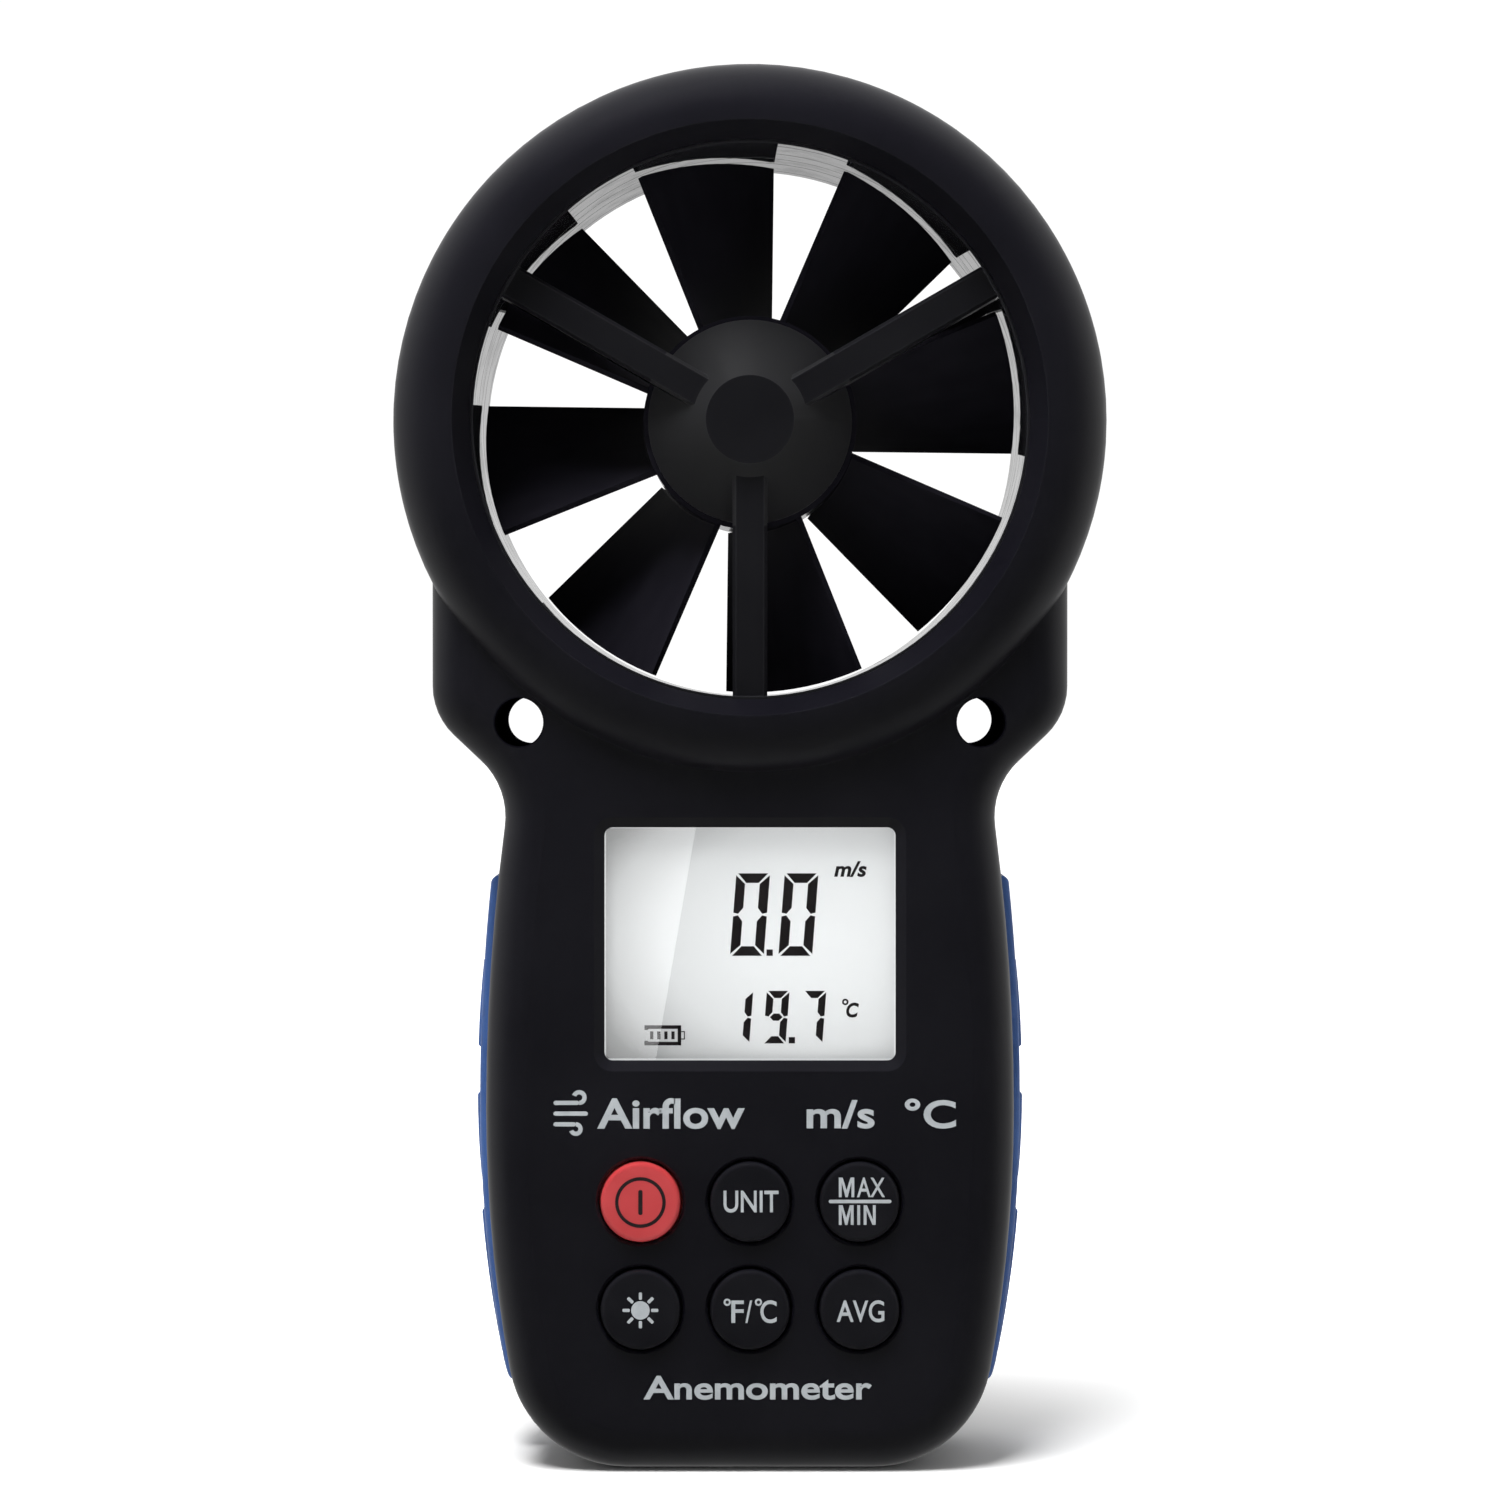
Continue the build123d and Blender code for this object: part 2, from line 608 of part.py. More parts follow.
def thermistor():
    """A bead that looks into the stream through a hole in the duct's lower wall."""
    bead = radial_pin(THERMISTOR_RADIUS, THERMISTOR_INNER_END, THERMISTOR_OUTER_END)
    return fillet(bead.edges(), radius=0.6)


# Rotor
def blade():
    """A vane along +X, lofted a little past its tip; its width grows and its pitch flattens outwards."""

    def section(radius):
        along = (radius - BLADE_ROOT) / (BLADE_TIP - BLADE_ROOT)
        sweep_half = BLADE_ROOT_SWEEP + (BLADE_TIP_SWEEP - BLADE_ROOT_SWEEP) * along
        chord = Vector(0, BLADE_HALF_DEPTH, -sweep_half)
        middle = (radius, 0, -BLADE_ROOT_SHIFT * (1 - along))
        plane = Plane(origin=middle, x_dir=chord, z_dir=(1, 0, 0))
        return plane * Rectangle(2 * chord.length, BLADE_THICKNESS)

    return loft([section(BLADE_ROOT), section(BLADE_TIP + 1.6)], ruled=True)


def impeller():
    """An open drum on a web and boss, with eight twisted vanes."""
    end = DRUM_HALF_LENGTH
    drum = disc(DRUM_RADIUS, 0, HEAD_Z, -end, end)
    for y_front, y_back in ((-end, -WEB_HALF_THICKNESS), (WEB_HALF_THICKNESS, end)):
        drum = drum - disc(DRUM_RADIUS - DRUM_WALL, 0, HEAD_Z, y_front, y_back)
        drum = drum + disc(ROTOR_BOSS, 0, HEAD_Z, y_front, y_back)
    rotor = drum - disc(SHAFT_RADIUS, 0, HEAD_Z, -end, end)
    swept_space = disc(BLADE_TIP, 0, HEAD_Z, -end, end)
    for number in range(BLADES):
        vane = about_head(blade(), FIRST_BLADE_ANGLE + number * 360 / BLADES)
        rotor = rotor + (vane & swept_space)
    return rotor


def impeller_shaft():
    shaft = disc(SHAFT_RADIUS, 0, HEAD_Z, -SHAFT_HALF_LENGTH, SHAFT_HALF_LENGTH)
    ends = edges_at_y(shaft, -SHAFT_HALF_LENGTH) + edges_at_y(shaft, SHAFT_HALF_LENGTH)
    return chamfer(ends, length=0.4)


def front_bearing():
    bore = SHAFT_RADIUS + BEARING_CLEARANCE
    return turned_points([(bore, -11.8), (BEARING_RADIUS, -11.8), (BEARING_RADIUS, -9.4), (bore, -9.4)])


def sensor_magnet():
    return turned_points([(ROTOR_BOSS, 5.8), (5.0, 5.8), (5.0, 7.8), (ROTOR_BOSS, 7.8)])


def sensor_board():
    return block((-3, 3), (HEAD_Z - 9.0, HEAD_Z - 3.8), (9.6, 10.3))


def hall_sensor():
    return block((-2, 2), (HEAD_Z - 6.6, HEAD_Z - 3.9), (8.8, 9.6))


def sensor_lead():
    """From the rear hub down the lower spoke's channel and forward to the board."""
    down = [(0, 10.9, HEAD_Z - 8.6), (0, 10.9, 85.0)]
    forward = [(0, -3.0, 84.0), (0, -4.0, 78.8), (0, BOARD_BACK_Y, 78.8)]
    return wire_tube(0.6, down + forward, [3.0, 2.5, 1.0])


def thermistor_lead():
    angle = radians(THERMISTOR_ANGLE)

    def at(radius):
        return radius * cos(angle), THERMISTOR_Y, HEAD_Z + radius * sin(angle)

    start, turn = at(THERMISTOR_OUTER_END), at(THERMISTOR_OUTER_END + 3.5)
    return wire_tube(0.5, [start, turn, (16, 4, 84), (9, -3.6, 78), (9, BOARD_BACK_Y, 78)], [1.5, 2.0, 1.0])


# Electronics
def main_board():
    middle_z = (BOARD_TOP_Z + BOARD_LOW_Z) / 2
    height = BOARD_TOP_Z - BOARD_LOW_Z
    board = plate(2 * BOARD_HALF_WIDTH, height, 2.0, middle_z, BOARD_FRONT_Y, BOARD_BACK_Y)
    for x, z in BOARD_SCREWS:
        board = board - disc(1.1, x, z, BOARD_FRONT_Y - 1, BOARD_BACK_Y + 1)
    return board


def board_screws():
    """Pan-head screws that hold the board to its posts."""
    screws = []
    for x, z in BOARD_SCREWS:
        head = disc(1.9, x, z, BOARD_BACK_Y, BOARD_BACK_Y + 1.3)
        head = fillet(edges_at_y(head, BOARD_BACK_Y + 1.3), radius=0.5)
        slot = cross_recess(x, z, BOARD_BACK_Y + 0.5, BOARD_BACK_Y + 2, 2.2, 0.45)
        screws.append(head + disc(0.9, x, z, -12.0, BOARD_BACK_Y) - slot)
    return screws


def cross_recess(x, z, y_front, y_back, length, width):
    depth = (y_front, y_back)
    upright = block((x - width / 2, x + width / 2), (z - length / 2, z + length / 2), depth)
    return upright + block((x - length / 2, x + length / 2), (z - width / 2, z + width / 2), depth)


def case_screws():
    """Six long self-tapping screws, with pan heads at the bottom of their wells."""
    screws = []
    for x, z in CASE_SCREWS:
        head = disc(SCREW_HEAD_RADIUS, x, z, SCREW_SEAT_Y, SCREW_SEAT_Y + 1.8)
        head = fillet(edges_at_y(head, SCREW_SEAT_Y + 1.8), radius=0.7)
        slot = cross_recess(x, z, SCREW_SEAT_Y + 0.7, SCREW_SEAT_Y + 3, 2.8, 0.6)
        screws.append(head + disc(SCREW_RADIUS, x, z, -8.0, SCREW_SEAT_Y) - slot)
    return screws


def controller_chip():
    return block((-5, 5), (68.6, 76.0), (BOARD_BACK_Y, BOARD_BACK_Y + 1.2))


def oscillator_can():
    return slab(Pos(-11, 72) * SlotOverall(8, 3.4), BOARD_BACK_Y, BOARD_BACK_Y + 2.6)


def board_capacitors():
    depth = (BOARD_BACK_Y, BOARD_BACK_Y + 1.1)
    places = [(-19, 60), (-19, 52), (-19, 44), (19, 60), (19, 48), (17.5, 36)]
    return [block((x - 1.0, x + 1.0), (z - 1.6, z + 1.6), depth) for x, z in places]


def battery():
    """A six-cell block battery, with its two snap terminals on top."""
    width, depth, height = BATTERY_SIZE
    body = Pos(0, BATTERY_MID_Y, BATTERY_LOW_Z + height / 2) * Box(width, depth, height)
    body = fillet(body.edges().filter_by(Axis.Z), radius=1.6)
    for x, radius in TERMINALS:
        body = body + terminal(x, radius, TERMINAL_HEIGHT)
    return body


def terminal(x, radius, height):
    return Pos(x, BATTERY_MID_Y, BATTERY_TOP_Z + TERMINAL_HEIGHT / 2) * Cylinder(radius, height)


def battery_snap():
    """The connector cap that snaps over the battery's terminals."""
    cap = Pos(0, BATTERY_MID_Y, BATTERY_TOP_Z + 2.0) * Box(25.0, 13.0, 3.8)
    cap = fillet(cap.edges().filter_by(Axis.Z), radius=3.0)
    for x, radius in TERMINALS:
        cap = cap - terminal(x, radius, TERMINAL_HEIGHT + 0.02)
    return cap


def battery_lead(side):
    """From the snap connector up through the bay's top wall and forward to the board."""
    start_z = BATTERY_TOP_Z + 3.9
    x = side * 2.5
    return wire_tube(
        0.6,
        [(x, -1.6, start_z), (x, -1.6, 70.5), (x * 3, -3.4, 75.5), (x * 3, BOARD_BACK_Y, 75.5)],
        [2.0, 1.2],
    )


def tripod_nut():
    """A flanged brass insert; its bore has the camera thread's minor diameter."""
    nut = disc(TRIPOD_OUTER, 0, TRIPOD_Z, TRIPOD_FRONT_Y, BACK_Y)
    nut = nut + disc(TRIPOD_FLANGE - 0.05, 0, TRIPOD_Z, TRIPOD_FLANGE_Y, BACK_Y)
    return nut - disc(TRIPOD_BORE, 0, TRIPOD_Z, TRIPOD_FRONT_Y - 1, BACK_Y + 1)


def nodes():
    parts = {
        "front_case": front_case(),
        "rear_case": rear_case(),
        "battery_door": battery_door(),
        "battery_pad": battery_pad(),
        "grip_left": mirror(grip_right(), about=Plane.YZ),
        "grip_right": grip_right(),
        "display_window": display_window(),
        "lcd_glass": lcd_glass(),
        "lcd_backlight": lcd_backlight(),
        "lcd_holder": lcd_holder(),
        "zebra_strips": zebra_strips(),
        "backlight_leds": backlight_leds(),
        "keypad_mat": keypad_mat(),
        "contact_pads": contact_pads(),
        "main_board": main_board(),
        "board_screws": board_screws(),
        "case_screws": case_screws(),
        "controller_chip": controller_chip(),
        "oscillator_can": oscillator_can(),
        "board_capacitors": board_capacitors(),
        "duct_front": duct_front(),
        "duct_rear": duct_rear(),
        "impeller": impeller(),
        "impeller_shaft": impeller_shaft(),
        "front_bearing": front_bearing(),
        "rear_bearing": to_back(front_bearing()),
        "sensor_magnet": sensor_magnet(),
        "sensor_board": sensor_board(),
        "hall_sensor": hall_sensor(),
        "sensor_lead": sensor_lead(),
        "thermistor": thermistor(),
        "thermistor_lead": thermistor_lead(),
        "battery": battery(),
        "battery_snap": battery_snap(),
        "battery_lead_red": battery_lead(1),
        "battery_lead_black": battery_lead(-1),
        "tripod_nut": tripod_nut(),
    }
    for name, x, z in key_places():
        parts["key_" + name] = key(x, z)
        parts["key_pill_" + name] = key_pill(x, z)
    return parts


os.makedirs("parts", exist_ok=True)
for node, shape in nodes().items():
    solids = shape if isinstance(shape, list) else shape.solids()
    print(node, len(solids), round(sum(s.volume for s in solids), 2))
    whole = Compound(children=[s.solid() for s in solids]) if len(solids) > 1 else solids[0]
    export_step(whole, f"parts/{node}.step")
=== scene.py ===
import json
import math

import bmesh
import bpy
from mathutils import Matrix, Vector


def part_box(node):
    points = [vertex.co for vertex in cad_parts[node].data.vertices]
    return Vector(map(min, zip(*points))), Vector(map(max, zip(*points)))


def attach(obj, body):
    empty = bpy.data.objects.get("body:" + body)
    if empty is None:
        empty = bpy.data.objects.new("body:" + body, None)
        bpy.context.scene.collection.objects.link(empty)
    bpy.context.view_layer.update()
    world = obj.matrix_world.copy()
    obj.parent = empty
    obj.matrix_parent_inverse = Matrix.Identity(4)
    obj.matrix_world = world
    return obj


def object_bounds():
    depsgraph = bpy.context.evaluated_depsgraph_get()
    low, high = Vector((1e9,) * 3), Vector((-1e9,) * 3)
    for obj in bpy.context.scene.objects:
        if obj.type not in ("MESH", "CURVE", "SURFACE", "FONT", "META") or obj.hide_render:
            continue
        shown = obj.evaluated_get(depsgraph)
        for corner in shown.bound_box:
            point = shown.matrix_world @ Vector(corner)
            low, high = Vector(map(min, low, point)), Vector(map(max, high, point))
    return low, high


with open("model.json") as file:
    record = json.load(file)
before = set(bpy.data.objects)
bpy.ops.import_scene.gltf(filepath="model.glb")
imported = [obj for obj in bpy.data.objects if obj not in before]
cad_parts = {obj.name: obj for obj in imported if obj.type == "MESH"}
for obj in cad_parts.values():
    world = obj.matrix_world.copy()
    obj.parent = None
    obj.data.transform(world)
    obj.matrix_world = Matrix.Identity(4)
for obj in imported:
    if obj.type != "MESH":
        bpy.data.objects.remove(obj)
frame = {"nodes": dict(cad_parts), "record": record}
cad_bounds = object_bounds()

MM = 0.001
NODES = frame["nodes"]

# The places that everything else is measured from, read from the CAD frame
duct_low, duct_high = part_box("duct_front")
lens_low, lens_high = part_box("display_window")
HEAD_Z = (duct_low.z + duct_high.z) / 2
DUCT_OUTER = (duct_high.z - duct_low.z) / 2
FACE_Y = -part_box("battery_door")[1].y  # the handle is as deep in front of the parting plane as behind it
WINDOW_Z = (lens_low.z + lens_high.z) / 2
GLASS_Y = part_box("lcd_glass")[0].y
BATTERY_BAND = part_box("battery")[0].z + 33 * MM
LANYARD_HOLE = next(m for m in frame["record"]["mounts"] if m["name"] == "lanyard_hole_right")
LANYARD_X, _, LANYARD_Z = LANYARD_HOLE["pos_m"]
LANYARD_RADIUS = LANYARD_HOLE["dims"]["r_mm"] * MM

# Where a material changes: just short of the duct's wall, and round the hub's cone and the vanes' drum
DUCT_WALL = DUCT_OUTER - 1.9 * MM
HUB_RADIUS = 12.5 * MM
DRUM_RADIUS = 12.8 * MM


# Camera and studio
CAMERA_AWAY = 515.5 * MM
CAMERA_HEIGHT = 93.06 * MM
CAMERA_LENS = 103.08
CAMERA_FILM = 36
CAMERA_SHIFT = -0.05

# Brightness of the light tent, from the camera's side, 0, to the far side, 1. It is then multiplied by
# TENT_BELOW for light from straight below, rising to TENT_ABOVE for light from straight above.
TENT = (
    (0.0, 0.03), (0.28, 0.05), (0.4, 0.26), (0.5, 0.42),
    (0.7, 0.52), (0.86, 0.58), (0.95, 0.95), (1.0, 1.15),
)
TENT_BELOW, TENT_ABOVE = 0.6, 1.25
SWEEP_WHITE = (1.05, 1.05, 1.05, 1)

# Soft lights: name, place, target, size and watts
MIDDLE = (0, 0, 0.08)
SOFT_LIGHTS = (
    ("soft_left", (-0.62, -0.55, 0.35), MIDDLE, (0.5, 0.6), 0.8),
    ("soft_right", (0.62, -0.55, 0.35), MIDDLE, (0.5, 0.6), 0.7),
    ("soft_back", (0.0, 0.7, 0.5), MIDDLE, (0.9, 0.5), 1.5),
    ("top_key", (-0.12, -0.22, 0.62), (0, 0, 0), (0.25, 0.25), 6.3),
)

# The bright window that the lens mirrors: its size, how far it leans, the middle of its right edge
CARD_SIZE = (0.1, 0.3)
CARD_LEAN = math.radians(9.8)
CARD_EDGE = (-0.019, -0.614, 0.0243)
CARD_WATTS = 0.25

# The floor's half size, its gap under the foot, and how far from the foot its own glow starts and is full
FLOOR_REACH = 4.0
FLOOR_GAP = 0.02 * MM
FLOOR_GLOW_FROM, FLOOR_GLOW_FULL = 0.03, 0.1


def aim_camera():
    """Level, at the height of the neck, and half a metre in front, as a product shot is taken."""
    camera = bpy.data.objects.new("camera", bpy.data.cameras.new("camera"))
    bpy.context.scene.collection.objects.link(camera)
    camera.location = (0, -CAMERA_AWAY, CAMERA_HEIGHT)
    camera.rotation_euler = (math.radians(90), 0, 0)
    camera.data.lens = CAMERA_LENS
    camera.data.sensor_width = CAMERA_FILM
    camera.data.shift_y = CAMERA_SHIFT
    camera.data.clip_start = 0.01
    bpy.context.scene.camera = camera


def tent_brightness(make, join):
    """The light tent's brightness by direction, as a socket."""
    place = make("ShaderNodeTexCoord")
    split = make("ShaderNodeSeparateXYZ")
    join(place.outputs["Generated"], split.inputs[0])
    depth = make("ShaderNodeMapRange")
    depth.inputs["From Min"].default_value = -1
    join(split.outputs["Y"], depth.inputs["Value"])
    tent = make("ShaderNodeValToRGB")
    join(depth.outputs[0], tent.inputs[0])
    stops = tent.color_ramp.elements
    for stop, level in ((stops[0], TENT[0][1]), (stops[1], TENT[-1][1])):
        stop.color = (level, level, level, 1)
    for at, level in TENT[1:-1]:
        stops.new(at).color = (level, level, level, 1)
    height = make("ShaderNodeMapRange")
    height.inputs["From Min"].default_value = -1
    height.inputs["To Min"].default_value = TENT_BELOW
    height.inputs["To Max"].default_value = TENT_ABOVE
    join(split.outputs["Z"], height.inputs["Value"])
    shaped = make("ShaderNodeMixRGB")
    shaped.blend_type = "MULTIPLY"
    shaped.inputs[0].default_value = 1
    join(tent.outputs[0], shaped.inputs[1])
    join(height.outputs[0], shaped.inputs[2])
    return shaped.outputs[0]


def light_world():
    """A white sweep behind, and for light a tent that darkens towards and below the camera."""
    world = bpy.data.worlds.new("studio")
    bpy.context.scene.world = world
    world.use_nodes = True
    tree = world.node_tree
    tree.nodes.clear()
    make, join = tree.nodes.new, tree.links.new
    path = make("ShaderNodeLightPath")
    seen = make("ShaderNodeMixRGB")
    join(path.outputs["Is Camera Ray"], seen.inputs[0])
    join(tent_brightness(make, join), seen.inputs[1])
    seen.inputs[2].default_value = SWEEP_WHITE
    sky = make("ShaderNodeBackground")
    join(seen.outputs[0], sky.inputs["Color"])
    out = make("ShaderNodeOutputWorld")
    join(sky.outputs[0], out.inputs["Surface"])


def add_softbox(name, place, target, size, watts, mirrored=False):
    """A soft light on the diffuse colours; with mirrored it is seen only as a reflection."""
    lamp = bpy.data.objects.new(name, bpy.data.lights.new(name, "AREA"))
    lamp.data.shape = "RECTANGLE"
    lamp.data.size, lamp.data.size_y = size
    lamp.data.energy = watts
    lamp.visible_camera = False
    lamp.visible_glossy = mirrored
    lamp.visible_diffuse = not mirrored
    lamp.location = place
    lamp.rotation_mode = "QUATERNION"
    lamp.rotation_quaternion = (Vector(target) - Vector(place)).to_track_quat("-Z", "Y")
    bpy.context.scene.collection.objects.link(lamp)
    return lamp


def add_lights():
    for light in SOFT_LIGHTS:
        add_softbox(*light)
    add_window_card()


def add_window_card():
    """A bright window behind the camera, for the lens alone; its slanted right edge crosses the display."""
    up = Vector((math.sin(CARD_LEAN), 0, math.cos(CARD_LEAN)))
    right = Vector((math.cos(CARD_LEAN), 0, -math.sin(CARD_LEAN)))
    card = add_softbox("window_card", (0, 0, 0), (0, 1, 0), CARD_SIZE, CARD_WATTS, mirrored=True)
    turn = Matrix((right, up, right.cross(up))).transposed()
    card.rotation_quaternion = turn.to_quaternion()
    card.location = Vector(CARD_EDGE) - right * CARD_SIZE[0] / 2
    lens_only = bpy.data.collections.new("lens_only")
    lens_only.objects.link(NODES["display_window"])
    card.light_linking.receiver_collection = lens_only


def lay_floor():
    """A white table top. Away from the object it glows, so it is as bright as the sweep behind it."""
    bm = bmesh.new()
    bmesh.ops.create_grid(bm, x_segments=4, y_segments=4, size=FLOOR_REACH)
    mesh = bpy.data.meshes.new("floor")
    bm.to_mesh(mesh)
    bm.free()
    floor = bpy.data.objects.new("floor", mesh)
    bpy.context.scene.collection.objects.link(floor)
    floor.location.z = cad_bounds[0].z - FLOOR_GAP
    paint = Paint("floor_white", roughness=0.9, specular=0.1)
    speck = paint.noise(40.0, detail=2)
    paint.colour(paint.ramp(speck, (0.3, (0.80, 0.80, 0.80)), (0.7, (0.84, 0.84, 0.84))))
    paint.shader.inputs["Emission Color"].default_value = (1, 1, 1, 1)
    seen = paint.node("ShaderNodeLightPath").outputs["Is Camera Ray"]
    reach = paint.node("ShaderNodeVectorMath", operation="LENGTH")
    paint.link(paint.place, reach.inputs[0])
    fill = paint.spread(reach.outputs["Value"], 0.0, 1.0, FLOOR_GLOW_FROM, FLOOR_GLOW_FULL)
    paint.link(paint.maths("MULTIPLY", seen, fill), paint.shader.inputs["Emission Strength"])
    floor.data.materials.append(paint.material)
    floor.visible_glossy = False


# Materials
class Paint:
    """A Principled material that is built up from procedural patterns placed in the object's own space."""

    def __init__(self, name, roughness=0.5, specular=0.5, metallic=0.0):
        self.material = bpy.data.materials.new(name)
        self.material.use_nodes = True
        self.tree = self.material.node_tree
        self.shader = self.tree.nodes["Principled BSDF"]
        self.output = self.tree.nodes["Material Output"]
        self.shader.inputs["Roughness"].default_value = roughness
        self.shader.inputs["Specular IOR Level"].default_value = specular
        self.shader.inputs["Metallic"].default_value = metallic
        self.place = self.node("ShaderNodeTexCoord").outputs["Object"]

    def node(self, kind, **settings):
        made = self.tree.nodes.new(kind)
        for key, value in settings.items():
            setattr(made, key, value)
        return made

    def link(self, source, target):
        self.tree.links.new(source, target)

    def feed(self, value, target):
        """A socket is linked; a number or colour is set, a number as a grey where a colour is wanted."""
        if isinstance(value, bpy.types.NodeSocket):
            self.link(value, target)
        elif target.type == "RGBA":
            target.default_value = (*value, 1) if isinstance(value, tuple) else (value, value, value, 1)
        else:
            target.default_value = value

    def maths(self, operation, first, second=0.0, third=None):
        node = self.node("ShaderNodeMath", operation=operation)
        self.feed(first, node.inputs[0])
        self.feed(second, node.inputs[1])
        if third is not None:
            self.feed(third, node.inputs[2])
        return node.outputs[0]

    def stretched(self, scale):
        node = self.node("ShaderNodeVectorMath", operation="MULTIPLY")
        self.link(self.place, node.inputs[0])
        node.inputs[1].default_value = scale
        return node.outputs[0]

    def noise(self, scale, detail=3, roughness=0.5, place=None):
        node = self.node("ShaderNodeTexNoise")
        self.link(place or self.place, node.inputs["Vector"])
        node.inputs["Scale"].default_value = scale
        node.inputs["Detail"].default_value = detail
        node.inputs["Roughness"].default_value = roughness
        return node.outputs["Fac"]

    def cells(self, scale, place=None):
        node = self.node("ShaderNodeTexVoronoi")
        self.link(place or self.place, node.inputs["Vector"])
        node.inputs["Scale"].default_value = scale
        return node.outputs["Distance"]

    def ramp(self, source, *stops):
        node = self.node("ShaderNodeValToRGB")
        self.link(source, node.inputs[0])
        elements = node.color_ramp.elements
        while len(elements) < len(stops):
            elements.new(0.5)
        for element, (at, value) in zip(elements, stops):
            element.position = at
            element.color = (*value, 1) if isinstance(value, tuple) else (value, value, value, 1)
        return node.outputs["Color"]

    def blotches(self, pattern, start=0.35, end=0.7):
        """A pattern drawn out to soft blotches, for mixing two close colours."""
        return self.ramp(pattern, (start, 0.0), (end, 1.0))

    def mix(self, share, first, second, mode="MIX"):
        node = self.node("ShaderNodeMixRGB", blend_type=mode)
        for value, target in zip((share, first, second), node.inputs):
            self.feed(value, target)
        return node.outputs[0]

    def spread(self, source, low, high, start=0.0, end=1.0):
        """source, from start to end, mapped to low to high."""
        node = self.node("ShaderNodeMapRange")
        self.link(source, node.inputs["Value"])
        for key, value in (("From Min", start), ("From Max", end), ("To Min", low), ("To Max", high)):
            node.inputs[key].default_value = value
        return node.outputs[0]

    def axis(self, name):
        node = self.node("ShaderNodeSeparateXYZ")
        self.link(self.place, node.inputs[0])
        return node.outputs[name]

    def colour(self, value):
        self.feed(value, self.shader.inputs["Base Color"])

    def rough(self, value):
        self.feed(value, self.shader.inputs["Roughness"])

    def bump(self, height, depth, soft_edge=None):
        """Relief of that depth in metres, on normals that are rounded over at sharp edges."""
        node = self.node("ShaderNodeBump")
        node.inputs["Strength"].default_value = 1.0
        node.inputs["Distance"].default_value = depth
        self.link(height, node.inputs["Height"])
        if soft_edge:
            self.link(self.bevel(soft_edge), node.inputs["Normal"])
        self.link(node.outputs[0], self.shader.inputs["Normal"])

    def bevel(self, radius):
        node = self.node("ShaderNodeBevel", samples=6)
        node.inputs["Radius"].default_value = radius
        return node.outputs[0]

    def edge_mask(self, radius):
        """Near 1 where the surface turns sharply within the radius, and 0 on the flat."""
        turned = self.node("ShaderNodeVectorMath", operation="DOT_PRODUCT")
        self.link(self.bevel(radius), turned.inputs[0])
        self.link(self.node("ShaderNodeNewGeometry").outputs["Normal"], turned.inputs[1])
        return self.spread(turned.outputs["Value"], 1.0, 0.0, 0.75, 0.995)

    def head_radius(self):
        """Distance from the head's axis."""
        across = self.maths("POWER", self.axis("X"), 2.0)
        up = self.maths("POWER", self.maths("SUBTRACT", self.axis("Z"), HEAD_Z), 2.0)
        return self.maths("SQRT", self.maths("ADD", across, up))

    def facing_front(self, start, end):
        """1 on faces square to the Y axis, falling to 0 where they turn away from it."""
        split = self.node("ShaderNodeSeparateXYZ")
        self.link(self.node("ShaderNodeTexCoord").outputs["Normal"], split.inputs[0])
        return self.spread(self.maths("ABSOLUTE", split.outputs["Y"]), 0.0, 1.0, start, end)

    def lanyard_reach(self):
        """Distance from the axis of the nearer lanyard hole."""
        aside = self.maths("SUBTRACT", self.maths("ABSOLUTE", self.axis("X")), LANYARD_X)
        up = self.maths("SUBTRACT", self.axis("Z"), LANYARD_Z)
        squares = self.maths("ADD", self.maths("POWER", aside, 2.0), self.maths("POWER", up, 2.0))
        return self.maths("SQRT", squares)

    def show_matt(self, share, colour):
        """Lets a plain matt colour take over that share of the surface."""
        matt = self.node("ShaderNodeBsdfDiffuse")
        matt.inputs["Color"].default_value = (*colour, 1)
        blend = self.node("ShaderNodeMixShader")
        self.link(share, blend.inputs[0])
        self.link(self.shader.outputs[0], blend.inputs[1])
        self.link(matt.outputs[0], blend.inputs[2])
        self.link(blend.outputs[0], self.output.inputs["Surface"])


def moulded(name, colour, roughness=0.42, grain=0.35, depth=0.006, wear=0.35, dull_holes=False):
    """Moulded plastic: a spark-eroded grain (grain and depth in mm), faint mottling and worn, paler edges.
    """
    paint = Paint(name, roughness)
    fine = paint.noise(1 / (grain * MM), detail=4, roughness=0.6)
    broad = paint.noise(45.0, detail=3)
    lighter = tuple(c * 1.35 + 0.0006 for c in colour)
    grained = tuple(c * 1.8 + 0.001 for c in colour)
    worn = tuple(c * 2.6 + 0.012 for c in colour)
    base = paint.mix(paint.blotches(broad), colour, lighter)
    base = paint.mix(paint.spread(fine, 0.0, 0.35, 0.35, 0.75), base, grained)
    patchy = paint.spread(broad, 0.3, 1.0, 0.35, 0.65)
    paler_edges = paint.maths("MULTIPLY", paint.edge_mask(0.35 * MM), patchy)
    base = paint.mix(paint.maths("MULTIPLY", paler_edges, wear), base, worn)
    paint.colour(base)
    paint.rough(paint.spread(broad, roughness - 0.05, roughness + 0.06, 0.3, 0.7))
    paint.bump(fine, depth * MM, 0.12 * MM)
    if dull_holes:
        # painted shade: the lanyard holes' walls have no shine at all, so they stay dark as if in shade
        start, end = LANYARD_RADIUS + 0.05 * MM, LANYARD_RADIUS + 0.2 * MM
        paint.show_matt(paint.spread(paint.lanyard_reach(), 1.0, 0.0, start, end), colour)
    return paint.material


